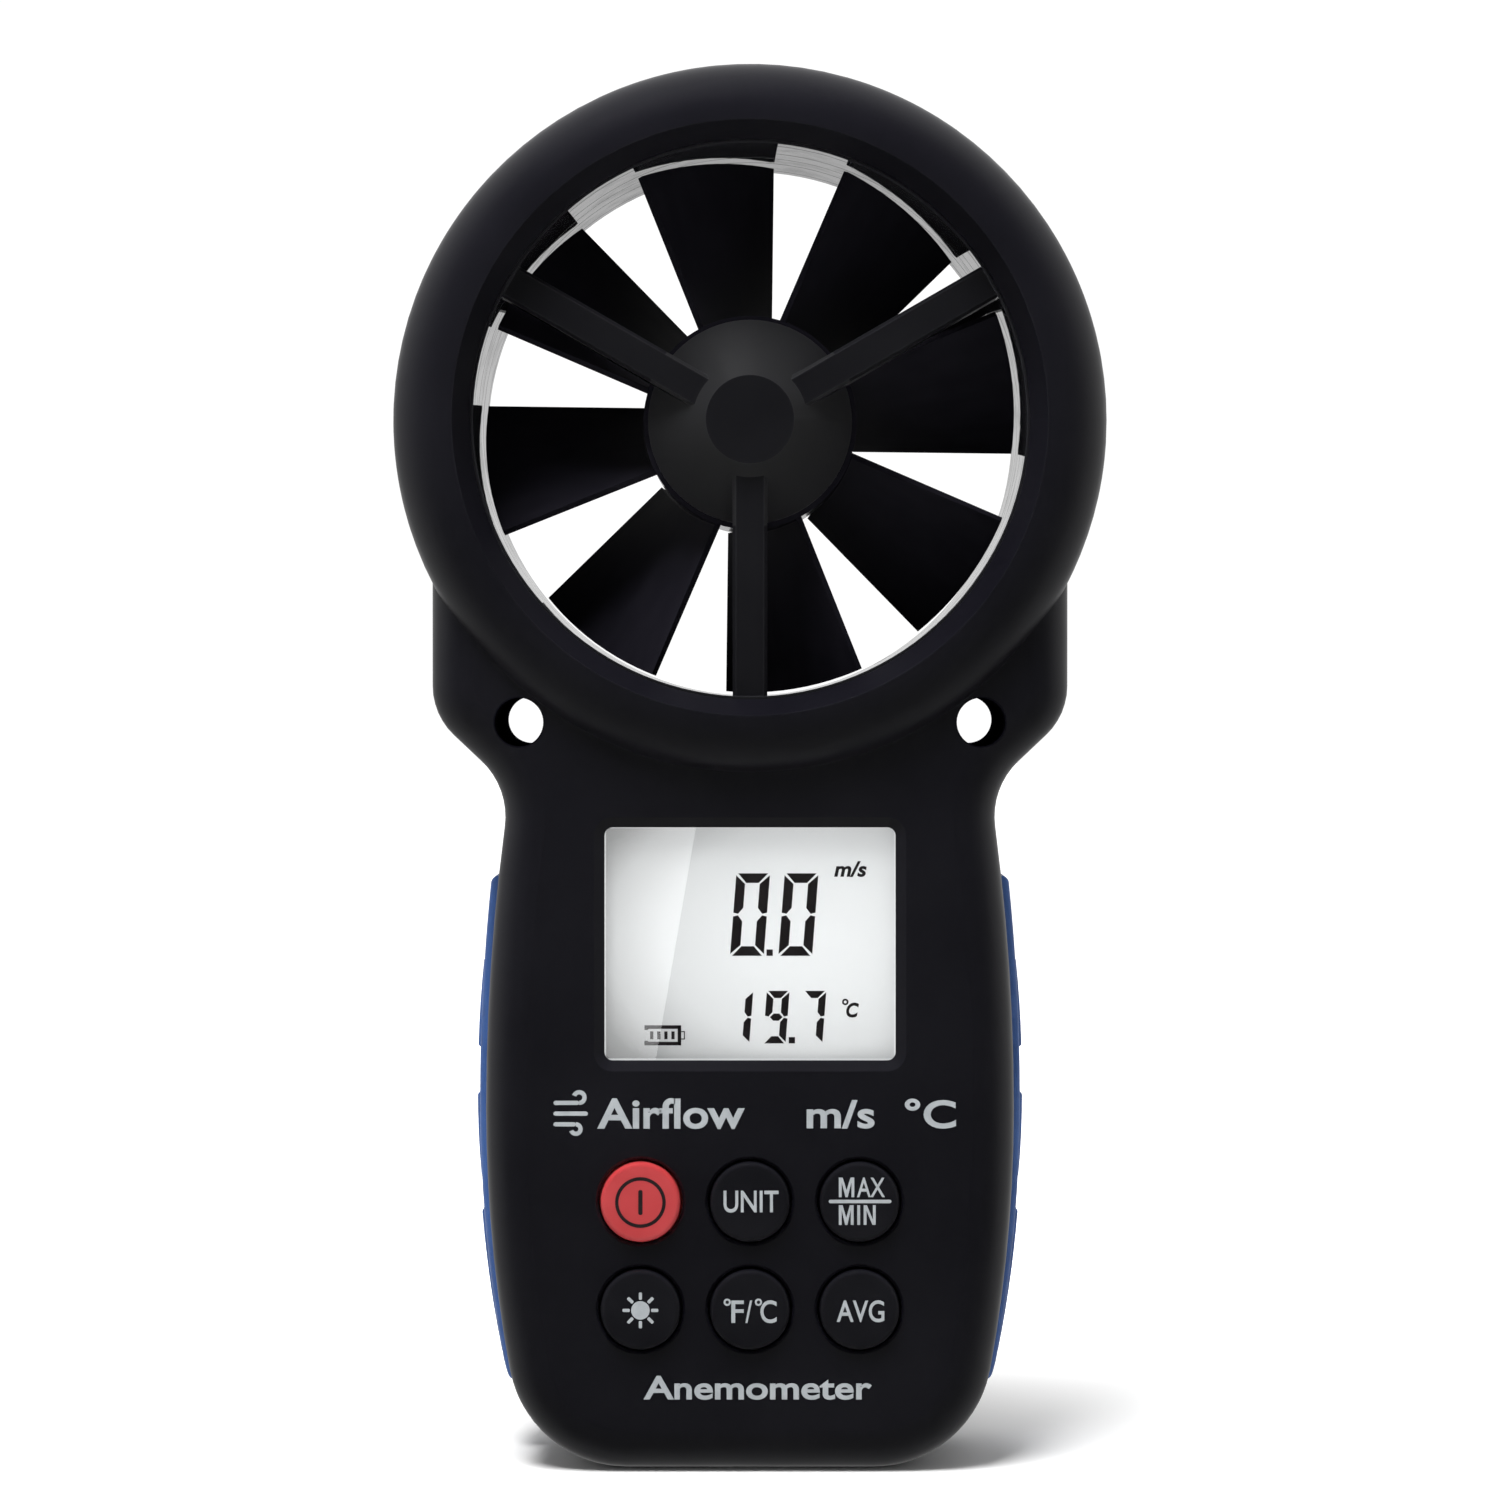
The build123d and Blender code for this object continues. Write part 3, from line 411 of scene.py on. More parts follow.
def duct_plastic():
    """Matt spokes and boss, a satin hub cone, and the wall that the vanes run in polished. The cone's
    colour is lifted as painted light, and sharp edges are painted paler as a painted highlight.
    """
    paint = Paint("duct_plastic", 0.4, 0.5)
    radius = paint.head_radius()
    wall = paint.spread(radius, 0.0, 1.0, DUCT_WALL - 0.1 * MM, DUCT_WALL - 0.02 * MM)
    turned_away = paint.maths("SUBTRACT", 1.0, paint.facing_front(0.97, 0.995))
    hub = paint.spread(radius, 1.0, 0.0, HUB_RADIUS - 0.1 * MM, HUB_RADIUS + 0.1 * MM)
    cone = paint.maths("MULTIPLY", turned_away, hub)
    shine = paint.mix(wall, paint.mix(cone, 0.32, 0.85), 0.5)
    paint.feed(shine, paint.shader.inputs["Specular IOR Level"])
    fine = paint.noise(1 / (0.3 * MM), detail=4, roughness=0.6)
    broad = paint.noise(60.0)
    base = paint.mix(paint.blotches(broad), (0.0056, 0.0055, 0.0070), (0.0078, 0.0077, 0.0094))
    # painted light: the hub cone's colour is lifted to a paler grey for the side light it catches
    base = paint.mix(paint.maths("MULTIPLY", cone, 0.7), base, (0.016, 0.016, 0.017))
    # painted highlight: the spokes' and boss's sharp edges are painted paler, as where their chamfers catch
    # the light
    paler_edges = paint.maths("MULTIPLY", paint.edge_mask(0.3 * MM), 0.8)
    paint.colour(paint.mix(paler_edges, base, (0.035, 0.036, 0.04)))
    paint.rough(paint.mix(wall, paint.spread(broad, 0.4, 0.5, 0.3, 0.7), 0.03))
    paint.bump(paint.mix(wall, fine, 0.5), 0.006 * MM, 0.12 * MM)
    score_wall(paint, wall)
    return paint.material


# Lines round the duct's wall: how far in front of and behind the middle, and half their width
SCORES_AT = (5.0 * MM, 12.4 * MM)
SCORE_HALF_WIDTH = 0.2 * MM


def score_wall(paint, wall):
    """Fine dull lines round the polished wall, left by the mould's core, and smudges between them."""
    depth = paint.maths("ABSOLUTE", paint.axis("Y"))
    inner, outer = [paint.maths("COMPARE", depth, at, SCORE_HALF_WIDTH) for at in SCORES_AT]
    lines = paint.maths("MULTIPLY", paint.maths("MAXIMUM", inner, outer), 0.8)
    smudges = paint.spread(paint.noise(260.0, detail=4), 0.3, 0.46, 0.45, 0.75)
    dulled = paint.maths("MULTIPLY", wall, paint.maths("MAXIMUM", lines, smudges))
    paint.show_matt(dulled, (0.02, 0.02, 0.022))


def vane_plastic():
    """Flat black vanes with faint flow lines along them; the drum they stand on is glossier."""
    paint = Paint("vane_plastic", 0.6, 0.08)
    radius = paint.head_radius()
    flow = paint.noise(160.0, detail=5, place=paint.stretched((1.0, 5.0, 1.0)))
    fine = paint.noise(1 / (0.25 * MM), detail=3)
    drum = paint.spread(radius, 1.0, 0.0, DRUM_RADIUS - 0.1 * MM, DRUM_RADIUS + 0.1 * MM)
    paint.colour(paint.mix(paint.blotches(flow), (0.0085, 0.0080, 0.0115), (0.0115, 0.0108, 0.0150)))
    paint.rough(paint.mix(drum, paint.spread(flow, 0.5, 0.62, 0.3, 0.7), 0.22))
    paint.bump(fine, 0.003 * MM, 0.1 * MM)
    return paint.material


def grip_rubber():
    """Blue soft-touch rubber: a fine pebbled skin with a dusty sheen, paler where fingers wore it."""
    paint = Paint("grip_rubber", 0.5, 0.45)
    pebbles = paint.cells(1 / (0.32 * MM))
    broad = paint.noise(70.0, detail=4)
    base = paint.mix(paint.blotches(broad, 0.3), (0.024, 0.072, 0.235), (0.036, 0.100, 0.30))
    paler_edges = paint.maths("MULTIPLY", paint.edge_mask(0.5 * MM), paint.spread(broad, 0.25, 0.8, 0.35, 0.65))
    paint.colour(paint.mix(paler_edges, base, (0.075, 0.165, 0.42)))
    paint.rough(paint.spread(broad, 0.42, 0.55, 0.3, 0.7))
    paint.shader.inputs["Sheen Weight"].default_value = 0.12
    paint.shader.inputs["Sheen Roughness"].default_value = 0.4
    paint.bump(pebbles, 0.012 * MM, 0.15 * MM)
    return paint.material


def silicone(name, colour, lighter, sheen):
    """Key rubber: a smooth satin skin with the faintest orange peel, and a painted highlight that makes its
    edge paler.
    """
    paint = Paint(name, 0.46, 0.42)
    peel = paint.noise(1 / (0.5 * MM), detail=2)
    broad = paint.noise(150.0, detail=3)
    base = paint.mix(paint.blotches(broad, 0.3), colour, lighter)
    # painted highlight: the key's rounded edge is painted paler, where light catches it
    rim_highlight = paint.maths("MULTIPLY", paint.edge_mask(0.6 * MM), sheen)
    paint.colour(paint.mix(rim_highlight, base, tuple(min(1.0, c * 1.5 + 0.01) for c in lighter)))
    paint.rough(paint.spread(broad, 0.4, 0.52, 0.3, 0.7))
    paint.bump(peel, 0.008 * MM, 0.25 * MM)
    return paint.material


# The display cell's painted light. Its brightest place and the width and height of the painted glow are
# shares of the cell's half size, and the table below is how that glow fades with the distance from that
# place, into painted shade at the corners.
CELL_HALF_WIDTH, CELL_HALF_HEIGHT = 17.0 * MM, 13.6 * MM
GLOW_X, GLOW_Z = 0.42, 0.05
GLOW_WIDE, GLOW_TALL, GLOW_REACH = 1.35, 1.3, 1.5
CELL_PAINTED_FADE = (
    (0.0, 0.85), (0.25, 0.81), (0.4, 0.75), (0.5, 0.70),
    (0.6, 0.57), (0.69, 0.46), (0.8, 0.22), (0.9, 0.14),
)
CELL_PAINTED_GLOW = 0.6


def display_cell():
    """The silver-grey cell, painted with a glow that is strongest right of the middle and with painted
    shade that darkens it towards the corners.
    """
    paint = Paint("display_cell", 0.35, 0.3)
    across = paint.maths("DIVIDE", paint.axis("X"), CELL_HALF_WIDTH)
    up = paint.maths("DIVIDE", paint.maths("SUBTRACT", paint.axis("Z"), WINDOW_Z), CELL_HALF_HEIGHT)
    aside = paint.maths("DIVIDE", paint.maths("SUBTRACT", across, GLOW_X), GLOW_WIDE)
    above = paint.maths("DIVIDE", paint.maths("SUBTRACT", up, GLOW_Z), GLOW_TALL)
    squares = [paint.maths("POWER", part, 2.0) for part in (aside, above)]
    distance = paint.maths("SQRT", paint.maths("ADD", *squares))
    # painted glow and painted shade: brightest right of the middle, darker towards the corners
    level = paint.ramp(paint.maths("DIVIDE", distance, GLOW_REACH), *CELL_PAINTED_FADE)
    mottle = paint.noise(1 / (0.12 * MM), detail=2)
    level = paint.mix(paint.spread(mottle, 0.0, 0.05, 0.4, 0.7), level, (0.6, 0.6, 0.6))
    edge_x = paint.maths("SUBTRACT", 1.0, paint.maths("ABSOLUTE", across))
    edge_z = paint.maths("SUBTRACT", 1.0, paint.maths("ABSOLUTE", up))
    near_edge = paint.maths("MINIMUM", edge_x, edge_z)
    border = paint.spread(near_edge, 1.0, 0.0, 0.006, 0.012)
    tinted = paint.mix(1.0, level, (0.985, 0.995, 1.0), "MULTIPLY")
    shown = paint.mix(paint.maths("MULTIPLY", border, 0.7), tinted, (0.86, 0.87, 0.87))
    paint.colour(paint.mix(1.0, shown, (0.6, 0.6, 0.6), "MULTIPLY"))
    # the painted glow is also given off as emission, so the cell glows
    paint.link(shown, paint.shader.inputs["Emission Color"])
    paint.shader.inputs["Emission Strength"].default_value = CELL_PAINTED_GLOW
    return paint.material


# The lens: the index of acrylic, and the share that its faces mirror back inside it
ACRYLIC_INDEX = 1.49
MIRRORED_INSIDE = 0.04


def clear_window():
    """A polished clear lens. It lets light through, and mirrors more of it the flatter it is seen."""
    paint = Paint("clear_window", 0.02, 0.5)
    scuffs = paint.noise(900.0, detail=6, place=paint.stretched((1.0, 1.0, 0.15)))
    clear = paint.node("ShaderNodeBsdfTransparent")
    clear.inputs["Color"].default_value = (0.97, 0.975, 0.975, 1)
    mirror = paint.node("ShaderNodeBsdfGlossy")
    paint.link(paint.spread(scuffs, 0.0, 0.02, 0.5, 0.8), mirror.inputs["Roughness"])
    fresnel = paint.node("ShaderNodeFresnel")
    fresnel.inputs["IOR"].default_value = ACRYLIC_INDEX
    blend = paint.node("ShaderNodeMixShader")
    from_inside = paint.node("ShaderNodeNewGeometry").outputs["Backfacing"]
    paint.link(paint.mix(from_inside, fresnel.outputs[0], MIRRORED_INSIDE), blend.inputs[0])
    paint.link(clear.outputs[0], blend.inputs[1])
    paint.link(mirror.outputs[0], blend.inputs[2])
    paint.link(blend.outputs[0], paint.output.inputs["Surface"])
    paint.tree.nodes.remove(paint.shader)
    return paint.material


def metal(name, colour, roughness=0.3, brushed=(1.0, 1.0, 1.0), scale=1500.0):
    """Bare or plated metal with drawing marks that run along the axes where brushed is small."""
    paint = Paint(name, roughness, 0.5, metallic=1.0)
    marks = paint.noise(scale, detail=5, place=paint.stretched(brushed))
    tarnish = paint.noise(220.0, detail=4)
    darker = tuple(c * 0.72 for c in colour)
    paint.colour(paint.mix(paint.ramp(tarnish, (0.35, 0.0), (0.75, 1.0)), colour, darker))
    paint.rough(paint.spread(marks, roughness - 0.08, roughness + 0.12, 0.3, 0.7))
    paint.bump(marks, 0.004 * MM, 0.08 * MM)
    return paint.material


def circuit_board():
    """Green solder mask over copper tracks, with a fine glass weave showing through."""
    paint = Paint("circuit_board", 0.3, 0.5)
    weave = paint.cells(1 / (0.5 * MM), place=paint.stretched((1.0, 0.1, 1.0)))
    tracks = paint.node("ShaderNodeTexBrick")
    paint.link(paint.stretched((420.0, 0.0, 420.0)), tracks.inputs["Vector"])
    tracks.inputs["Mortar Size"].default_value = 0.06
    copper = paint.spread(tracks.outputs["Fac"], 0.0, 1.0, 0.2, 0.6)
    base = paint.mix(paint.spread(weave, 0.0, 0.5, 0.1, 0.6), (0.012, 0.09, 0.035), (0.02, 0.14, 0.055))
    paint.colour(paint.mix(copper, base, (0.035, 0.23, 0.08)))
    paint.bump(paint.maths("ADD", copper, paint.maths("MULTIPLY", weave, 0.2)), 0.02 * MM)
    return paint.material


def battery_jacket():
    """A printed metal jacket: dark, with a copper-coloured end and a fine pale ring between the two."""
    paint = Paint("battery_jacket", 0.28, 0.5, metallic=0.6)
    height = paint.axis("Z")
    upper = paint.spread(height, 0.0, 1.0, BATTERY_BAND, BATTERY_BAND + 0.05 * MM)
    lower = paint.spread(height, 1.0, 0.0, BATTERY_BAND, BATTERY_BAND + 0.05 * MM)
    ring_foot = paint.spread(height, 0.0, 1.0, BATTERY_BAND - 0.8 * MM, BATTERY_BAND - 0.75 * MM)
    ring = paint.maths("MULTIPLY", ring_foot, lower)
    scuffs = paint.noise(500.0, detail=6, place=paint.stretched((1.0, 1.0, 0.2)))
    base = paint.mix(upper, (0.018, 0.02, 0.026), (0.5, 0.22, 0.08))
    base = paint.mix(ring, base, (0.62, 0.62, 0.6))
    paint.colour(paint.mix(paint.spread(scuffs, 0.0, 0.25, 0.5, 0.8), base, (0.3, 0.29, 0.28)))
    paint.rough(paint.spread(scuffs, 0.24, 0.42, 0.3, 0.7))
    paint.bump(scuffs, 0.01 * MM, 0.3 * MM)
    return paint.material


def striped_rubber():
    """Conductive and insulating layers by turns, a few to the millimetre."""
    paint = Paint("striped_rubber", 0.55)
    wave = paint.node("ShaderNodeTexWave", bands_direction="X")
    paint.link(paint.place, wave.inputs["Vector"])
    wave.inputs["Scale"].default_value = 1 / (1.2 * MM)
    paint.colour(paint.ramp(wave.outputs["Fac"], (0.45, (0.03, 0.03, 0.03)), (0.55, (0.6, 0.6, 0.62))))
    paint.bump(wave.outputs["Fac"], 0.01 * MM)
    return paint.material


def diffuser():
    """Milky light guide with a field of tiny dots."""
    paint = Paint("diffuser", 0.3)
    dots = paint.cells(1 / (0.9 * MM))
    paint.colour(paint.ramp(dots, (0.2, (0.92, 0.93, 0.95)), (0.35, (0.8, 0.82, 0.85))))
    paint.shader.inputs["Subsurface Weight"].default_value = 0.2
    paint.shader.inputs["Subsurface Scale"].default_value = 0.002
    paint.bump(dots, 0.01 * MM)
    return paint.material


def speckled(name, colour, second, roughness, scale, depth, metallic=0.0):
    """Two close colours in fine grains: sintered metal, ferrite, foam, ceramic or carbon rubber."""
    paint = Paint(name, roughness, metallic=metallic)
    grains = paint.noise(scale, detail=5, roughness=0.7)
    paint.colour(paint.ramp(grains, (0.38, colour), (0.62, second)))
    paint.rough(paint.spread(grains, roughness - 0.06, roughness + 0.1, 0.3, 0.7))
    paint.bump(grains, depth * MM, 0.08 * MM)
    return paint.material


def ink(name, colour, second):
    """Screen-printed ink: slightly uneven cover, with the plastic's grain coming through."""
    paint = Paint(name, 0.6, 0.3)
    fine = paint.noise(1 / (0.12 * MM), detail=3)
    broad = paint.noise(500.0, detail=3)
    base = paint.ramp(broad, (0.3, colour), (0.7, second))
    paint.colour(paint.mix(paint.spread(fine, 0.0, 0.25, 0.5, 0.8), base, tuple(c * 0.7 for c in colour)))
    paint.bump(fine, 0.004 * MM)
    return paint.material


# Colours and settings named here keep the lines of the table short
KEY_BLACK, KEY_BLACK_PALE = (0.0052, 0.0051, 0.0074), (0.0072, 0.0071, 0.0098)
KEY_RED, KEY_RED_PALE = (0.39, 0.030, 0.033), (0.46, 0.043, 0.047)
BRONZE, BRONZE_PALE = (0.5, 0.32, 0.14), (0.62, 0.42, 0.2)
BEAD_BROWN, BEAD_PALE = (0.05, 0.022, 0.012), (0.09, 0.04, 0.02)
LEAD_SKIN = {"roughness": 0.35, "grain": 0.2, "depth": 0.003, "wear": 0.1}

MATERIALS = {
    "case_plastic": moulded("case_plastic", (0.0043, 0.0041, 0.0064), dull_holes=True),
    "door_plastic": moulded("door_plastic", (0.0045, 0.0043, 0.0066), roughness=0.45),
    "foam": speckled("foam", (0.02, 0.02, 0.022), (0.06, 0.06, 0.065), 0.9, 3000.0, 0.15),
    "grip_rubber": grip_rubber(),
    "window_acrylic": clear_window(),
    "lcd_glass": display_cell(),
    "light_guide": diffuser(),
    "inner_plastic": moulded("inner_plastic", (0.55, 0.55, 0.53), roughness=0.5, wear=0.1),
    "contact_rubber": striped_rubber(),
    "key_silicone_black": silicone("key_silicone_black", KEY_BLACK, KEY_BLACK_PALE, 0.35),
    "key_silicone_red": silicone("key_silicone_red", KEY_RED, KEY_RED_PALE, 0.5),
    "carbon_pill": speckled("carbon_pill", (0.01, 0.01, 0.01), (0.03, 0.03, 0.03), 0.6, 4000.0, 0.01),
    "gold": metal("gold", (0.83, 0.58, 0.2), 0.25),
    "circuit_board": circuit_board(),
    "screw_steel": metal("screw_steel", (0.5, 0.5, 0.5), 0.3),
    "chip_black": moulded("chip_black", (0.012, 0.012, 0.013), roughness=0.5, grain=0.12, wear=0.2),
    "can_metal": metal("can_metal", (0.62, 0.62, 0.63), 0.25, (0.1, 1.0, 1.0)),
    "capacitor_tan": speckled("capacitor_tan", (0.42, 0.29, 0.16), (0.52, 0.37, 0.22), 0.5, 5000.0, 0.008),
    "duct_plastic": duct_plastic(),
    "vane_plastic": vane_plastic(),
    "shaft_steel": metal("shaft_steel", (0.62, 0.62, 0.64), 0.18, (1.0, 0.1, 1.0)),
    "bearing_sleeve": speckled("bearing_sleeve", BRONZE, BRONZE_PALE, 0.35, 6000.0, 0.01, 1.0),
    "ferrite": speckled("ferrite", (0.02, 0.02, 0.022), (0.05, 0.05, 0.053), 0.5, 4500.0, 0.02),
    "lead_grey": moulded("lead_grey", (0.2, 0.2, 0.21), **LEAD_SKIN),
    "thermistor_bead": speckled("thermistor_bead", BEAD_BROWN, BEAD_PALE, 0.15, 1500.0, 0.004),
    "battery_wrap": battery_jacket(),
    "snap_black": moulded("snap_black", (0.011, 0.011, 0.012), roughness=0.4),
    "lead_red": moulded("lead_red", (0.38, 0.014, 0.014), **LEAD_SKIN),
    "lead_black": moulded("lead_black", (0.012, 0.012, 0.012), **LEAD_SKIN),
    "nut_brass": metal("nut_brass", (0.72, 0.5, 0.2), 0.25, (1.0, 0.15, 1.0)),
}
PRINT_WHITE = ink("print_white", (0.32, 0.345, 0.36), (0.38, 0.405, 0.42))
PRINT_BLACK = ink("print_black", (0.012, 0.008, 0.009), (0.02, 0.013, 0.014))
SEGMENT_BLACK = ink("segment_black", (0.012, 0.009, 0.010), (0.017, 0.013, 0.014))


def dress_nodes():
    """Every CAD node gets the material of its slot in the record."""
    for part in frame["record"]["subparts"]:
        node = NODES[part["node"]]
        for place in node.material_slots:
            place.material = MATERIALS[part["material_slot"]]


# Printing. Every mark is a thin sheet of ink that lies on a face and rides with it.
INK = 0.02 * MM


def add_piece(name, mesh, material, body):
    """Adds a printed mark in that material, which moves with a body."""
    mesh.materials.clear()
    mesh.materials.append(material)
    piece = bpy.data.objects.new(name, mesh)
    bpy.context.scene.collection.objects.link(piece)
    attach(piece, body)
    return piece


def disc_points(centre, radius, steps=40):
    """A circle of (x, z) points."""
    turn = [2 * math.pi * i / steps for i in range(steps)]
    return [(centre[0] + radius * math.cos(a), centre[1] + radius * math.sin(a)) for a in turn]


def outline_prism(bm, points, face_y):
    """One flat mark: an outline of (x, z) points, standing proud of the face towards -Y."""
    front = [bm.verts.new((x, face_y - INK, z)) for x, z in points]
    back = [bm.verts.new((x, face_y, z)) for x, z in points]
    bm.faces.new(front)
    bm.faces.new(back[::-1])
    count = len(points)
    for i in range(count):
        j = (i + 1) % count
        bm.faces.new((front[j], front[i], back[i], back[j]))


def ring_prism(bm, centre, outer, inner, face_y, steps=32):
    """A flat printed ring."""
    loops = []
    for radius in (outer, inner):
        for y in (face_y - INK, face_y):
            loops.append([bm.verts.new((x, y, z)) for x, z in disc_points(centre, radius, steps)])
    outer_front, outer_back, inner_front, inner_back = loops
    for i in range(steps):
        j = (i + 1) % steps
        bm.faces.new((outer_front[i], outer_front[j], inner_front[j], inner_front[i]))
        bm.faces.new((inner_back[i], inner_back[j], outer_back[j], outer_back[i]))
        bm.faces.new((outer_back[i], outer_back[j], outer_front[j], outer_front[i]))
        bm.faces.new((inner_front[i], inner_front[j], inner_back[j], inner_back[i]))


def bar_points(centre, width, height, corner=0.0, turn=0.0, steps=4):
    """A bar with rounded corners, turned counterclockwise about its centre."""
    corner = min(corner, width / 2, height / 2)
    points = []
    for quarter, (sx, sz) in enumerate(((1, 1), (-1, 1), (-1, -1), (1, -1))):
        cx, cz = sx * (width / 2 - corner), sz * (height / 2 - corner)
        for i in range(steps + 1):
            a = math.radians(90 * quarter + 90 * i / steps)
            points.append((cx + corner * math.cos(a), cz + corner * math.sin(a)))
    c, s = math.cos(turn), math.sin(turn)
    return [(centre[0] + x * c - z * s, centre[1] + x * s + z * c) for x, z in points]


def mesh_from(bm, name):
    """A mesh with its double points merged and its faces turned outward."""
    bmesh.ops.remove_doubles(bm, verts=bm.verts, dist=1e-7)
    bmesh.ops.recalc_face_normals(bm, faces=bm.faces)
    mesh = bpy.data.meshes.new(name)
    bm.to_mesh(mesh)
    bm.free()
    return mesh


def text_mesh(name, text, centre, width, height, face_y, lean=0.0, weight=0.0):
    """Lettering in the built-in face, fitted to a width and height about a centre given as (x, z)."""
    curve = bpy.data.curves.new(name, "FONT")
    curve.body = text
    curve.resolution_u = 6
    curve.shear = lean
    curve.offset = weight
    curve.extrude = 0.01
    writer = bpy.data.objects.new(name, curve)
    bpy.context.scene.collection.objects.link(writer)
    bpy.context.view_layer.update()
    mesh = bpy.data.meshes.new_from_object(writer.evaluated_get(bpy.context.evaluated_depsgraph_get()))
    bpy.data.objects.remove(writer)
    xs = [v.co.x for v in mesh.vertices]
    ys = [v.co.y for v in mesh.vertices]
    zs = [v.co.z for v in mesh.vertices]
    low_x, low_y, low_z = min(xs), min(ys), min(zs)
    scale_x, scale_y = width / (max(xs) - low_x), height / (max(ys) - low_y)
    scale_z = INK / (max(zs) - low_z)
    for v in mesh.vertices:
        x = centre[0] - width / 2 + (v.co.x - low_x) * scale_x
        z = centre[1] - height / 2 + (v.co.y - low_y) * scale_y
        v.co = (x, face_y - (v.co.z - low_z) * scale_z, z)
    return mesh


# Sizes of the key signs, in mm
POWER_RING, POWER_RING_HOLE, POWER_BAR = 2.95, 2.55, (0.5, 2.9)
SUN_DISC, SUN_REACH, SUN_RAY = 1.08, 1.66, (0.84, 0.38)
MAX_MIN_BAR = (7.3, 0.4)
MAX_MIN_TALL, MAX_MIN_STROKE = 2.28, 0.33
MAX_MIN_LEFT, MAX_FOOT, MIN_FOOT = -2.42, 0.62, -2.6
DEGREE_RING, DEGREE_HOLE, DEGREE_HEIGHT = 0.42, 0.2, 0.95
KEY_WEIGHT = 0.012


def key_centre(name):
    """The middle of a key's top, as x and z, and the y of that top."""
    low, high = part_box("key_" + name)
    return (low.x + high.x) / 2, (low.z + high.z) / 2, low.y


def print_on_key(name, mesh, key):
    """The power key is red and its sign black; the other keys are black and their signs white."""
    if key == "power":
        add_piece(name, mesh, PRINT_BLACK, "key_power")
    else:
        add_piece(name, mesh, PRINT_WHITE, "key_" + key)


def label_text(name, key, text, offset, width, height, weight=KEY_WEIGHT):
    """A word on a key, in mm: how far its middle is from the key's middle, its width and its height."""
    x, z, face_y = key_centre(key)
    centre = (x + offset[0] * MM, z + offset[1] * MM)
    print_on_key(name, text_mesh(name, text, centre, width * MM, height * MM, face_y, weight=weight), key)


def print_power_symbol():
    """A ring with an upright bar in it."""
    x, z, face_y = key_centre("power")
    bm = bmesh.new()
    ring_prism(bm, (x, z), POWER_RING * MM, POWER_RING_HOLE * MM, face_y, steps=72)
    outline_prism(bm, bar_points((x, z), POWER_BAR[0] * MM, POWER_BAR[1] * MM, 0.2 * MM), face_y)
    print_on_key("print_power_symbol", mesh_from(bm, "print_power_symbol"), "power")


def print_sun():
    """A disc with eight rays."""
    x, z, face_y = key_centre("light")
    bm = bmesh.new()
    outline_prism(bm, disc_points((x, z), SUN_DISC * MM), face_y)
    for i in range(8):
        a = math.radians(45 * i)
        centre = (x + SUN_REACH * MM * math.cos(a), z + SUN_REACH * MM * math.sin(a))
        outline_prism(bm, bar_points(centre, SUN_RAY[0] * MM, SUN_RAY[1] * MM, 0.12 * MM, turn=a), face_y)
    print_on_key("print_sun", mesh_from(bm, "print_sun"), "light")


def print_max_min_bar():
    """The line between MAX and MIN."""
    x, z, face_y = key_centre("maxmin")
    bm = bmesh.new()
    centre = (x + 0.05 * MM, z + 0.12 * MM)
    outline_prism(bm, bar_points(centre, MAX_MIN_BAR[0] * MM, MAX_MIN_BAR[1] * MM, 0.2 * MM), face_y)
    print_on_key("print_max_min_bar", mesh_from(bm, "print_max_min_bar"), "maxmin")


def letter_m(corner, width):
    """A capital M from its lower left corner."""
    w, h, t = width, MAX_MIN_TALL, MAX_MIN_STROKE
    points = [
        (0, 0), (0, h), (1.35 * t, h), (w / 2, 0.36 * h), (w - 1.35 * t, h), (w, h), (w, 0), (w - t, 0),
        (w - t, 0.76 * h), (w / 2 + 0.4 * t, 0), (w / 2 - 0.4 * t, 0), (t, 0.76 * h), (t, 0),
    ]
    return [(corner[0] + x * MM, corner[1] + z * MM) for x, z in points]


def letter_n(corner, width):
    """A capital N from its lower left corner."""
    w, h, t = width, MAX_MIN_TALL, MAX_MIN_STROKE
    points = [
        (0, 0), (0, h), (1.15 * t, h), (w - t, 0.27 * h), (w - t, h), (w, h), (w, 0), (w - 1.15 * t, 0),
        (t, 0.73 * h), (t, 0),
    ]
    return [(corner[0] + x * MM, corner[1] + z * MM) for x, z in points]


def print_max_min_letters():
    """The M of MAX and the whole of MIN, drawn stroke by stroke."""
    x, z, face_y = key_centre("maxmin")
    left, upper, lower = x + MAX_MIN_LEFT * MM, z + MAX_FOOT * MM, z + MIN_FOOT * MM
    bm = bmesh.new()
    outline_prism(bm, letter_m((left, upper), 1.8), face_y)
    outline_prism(bm, letter_m((left, lower), 1.72), face_y)
    middle = (x - 0.11 * MM, lower + MAX_MIN_TALL * MM / 2)
    outline_prism(bm, bar_points(middle, MAX_MIN_STROKE * MM, MAX_MIN_TALL * MM), face_y)
    outline_prism(bm, letter_n((x + 0.47 * MM, lower), 1.4), face_y)
    print_on_key("print_max_min", mesh_from(bm, "print_max_min"), "maxmin")


def print_degree_scale():
    """The F and the C of the scale key, each with its degree ring, and the stroke between them."""
    x, z, face_y = key_centre("scale")
    bm = bmesh.new()
    for offset in (-2.65, 0.98):
        centre = (x + offset * MM, z + DEGREE_HEIGHT * MM)
        ring_prism(bm, centre, DEGREE_RING * MM, DEGREE_HOLE * MM, face_y)
    print_on_key("print_degree_rings", mesh_from(bm, "print_degree_rings"), "scale")
    label_text("print_scale_f", "scale", "F", (-1.45, -0.15), 1.45, 2.6)
    label_text("print_scale_slash", "scale", "/", (-0.15, -0.15), 0.8, 2.6)
    label_text("print_scale_c", "scale", "C", (2.15, -0.15), 1.9, 2.66)


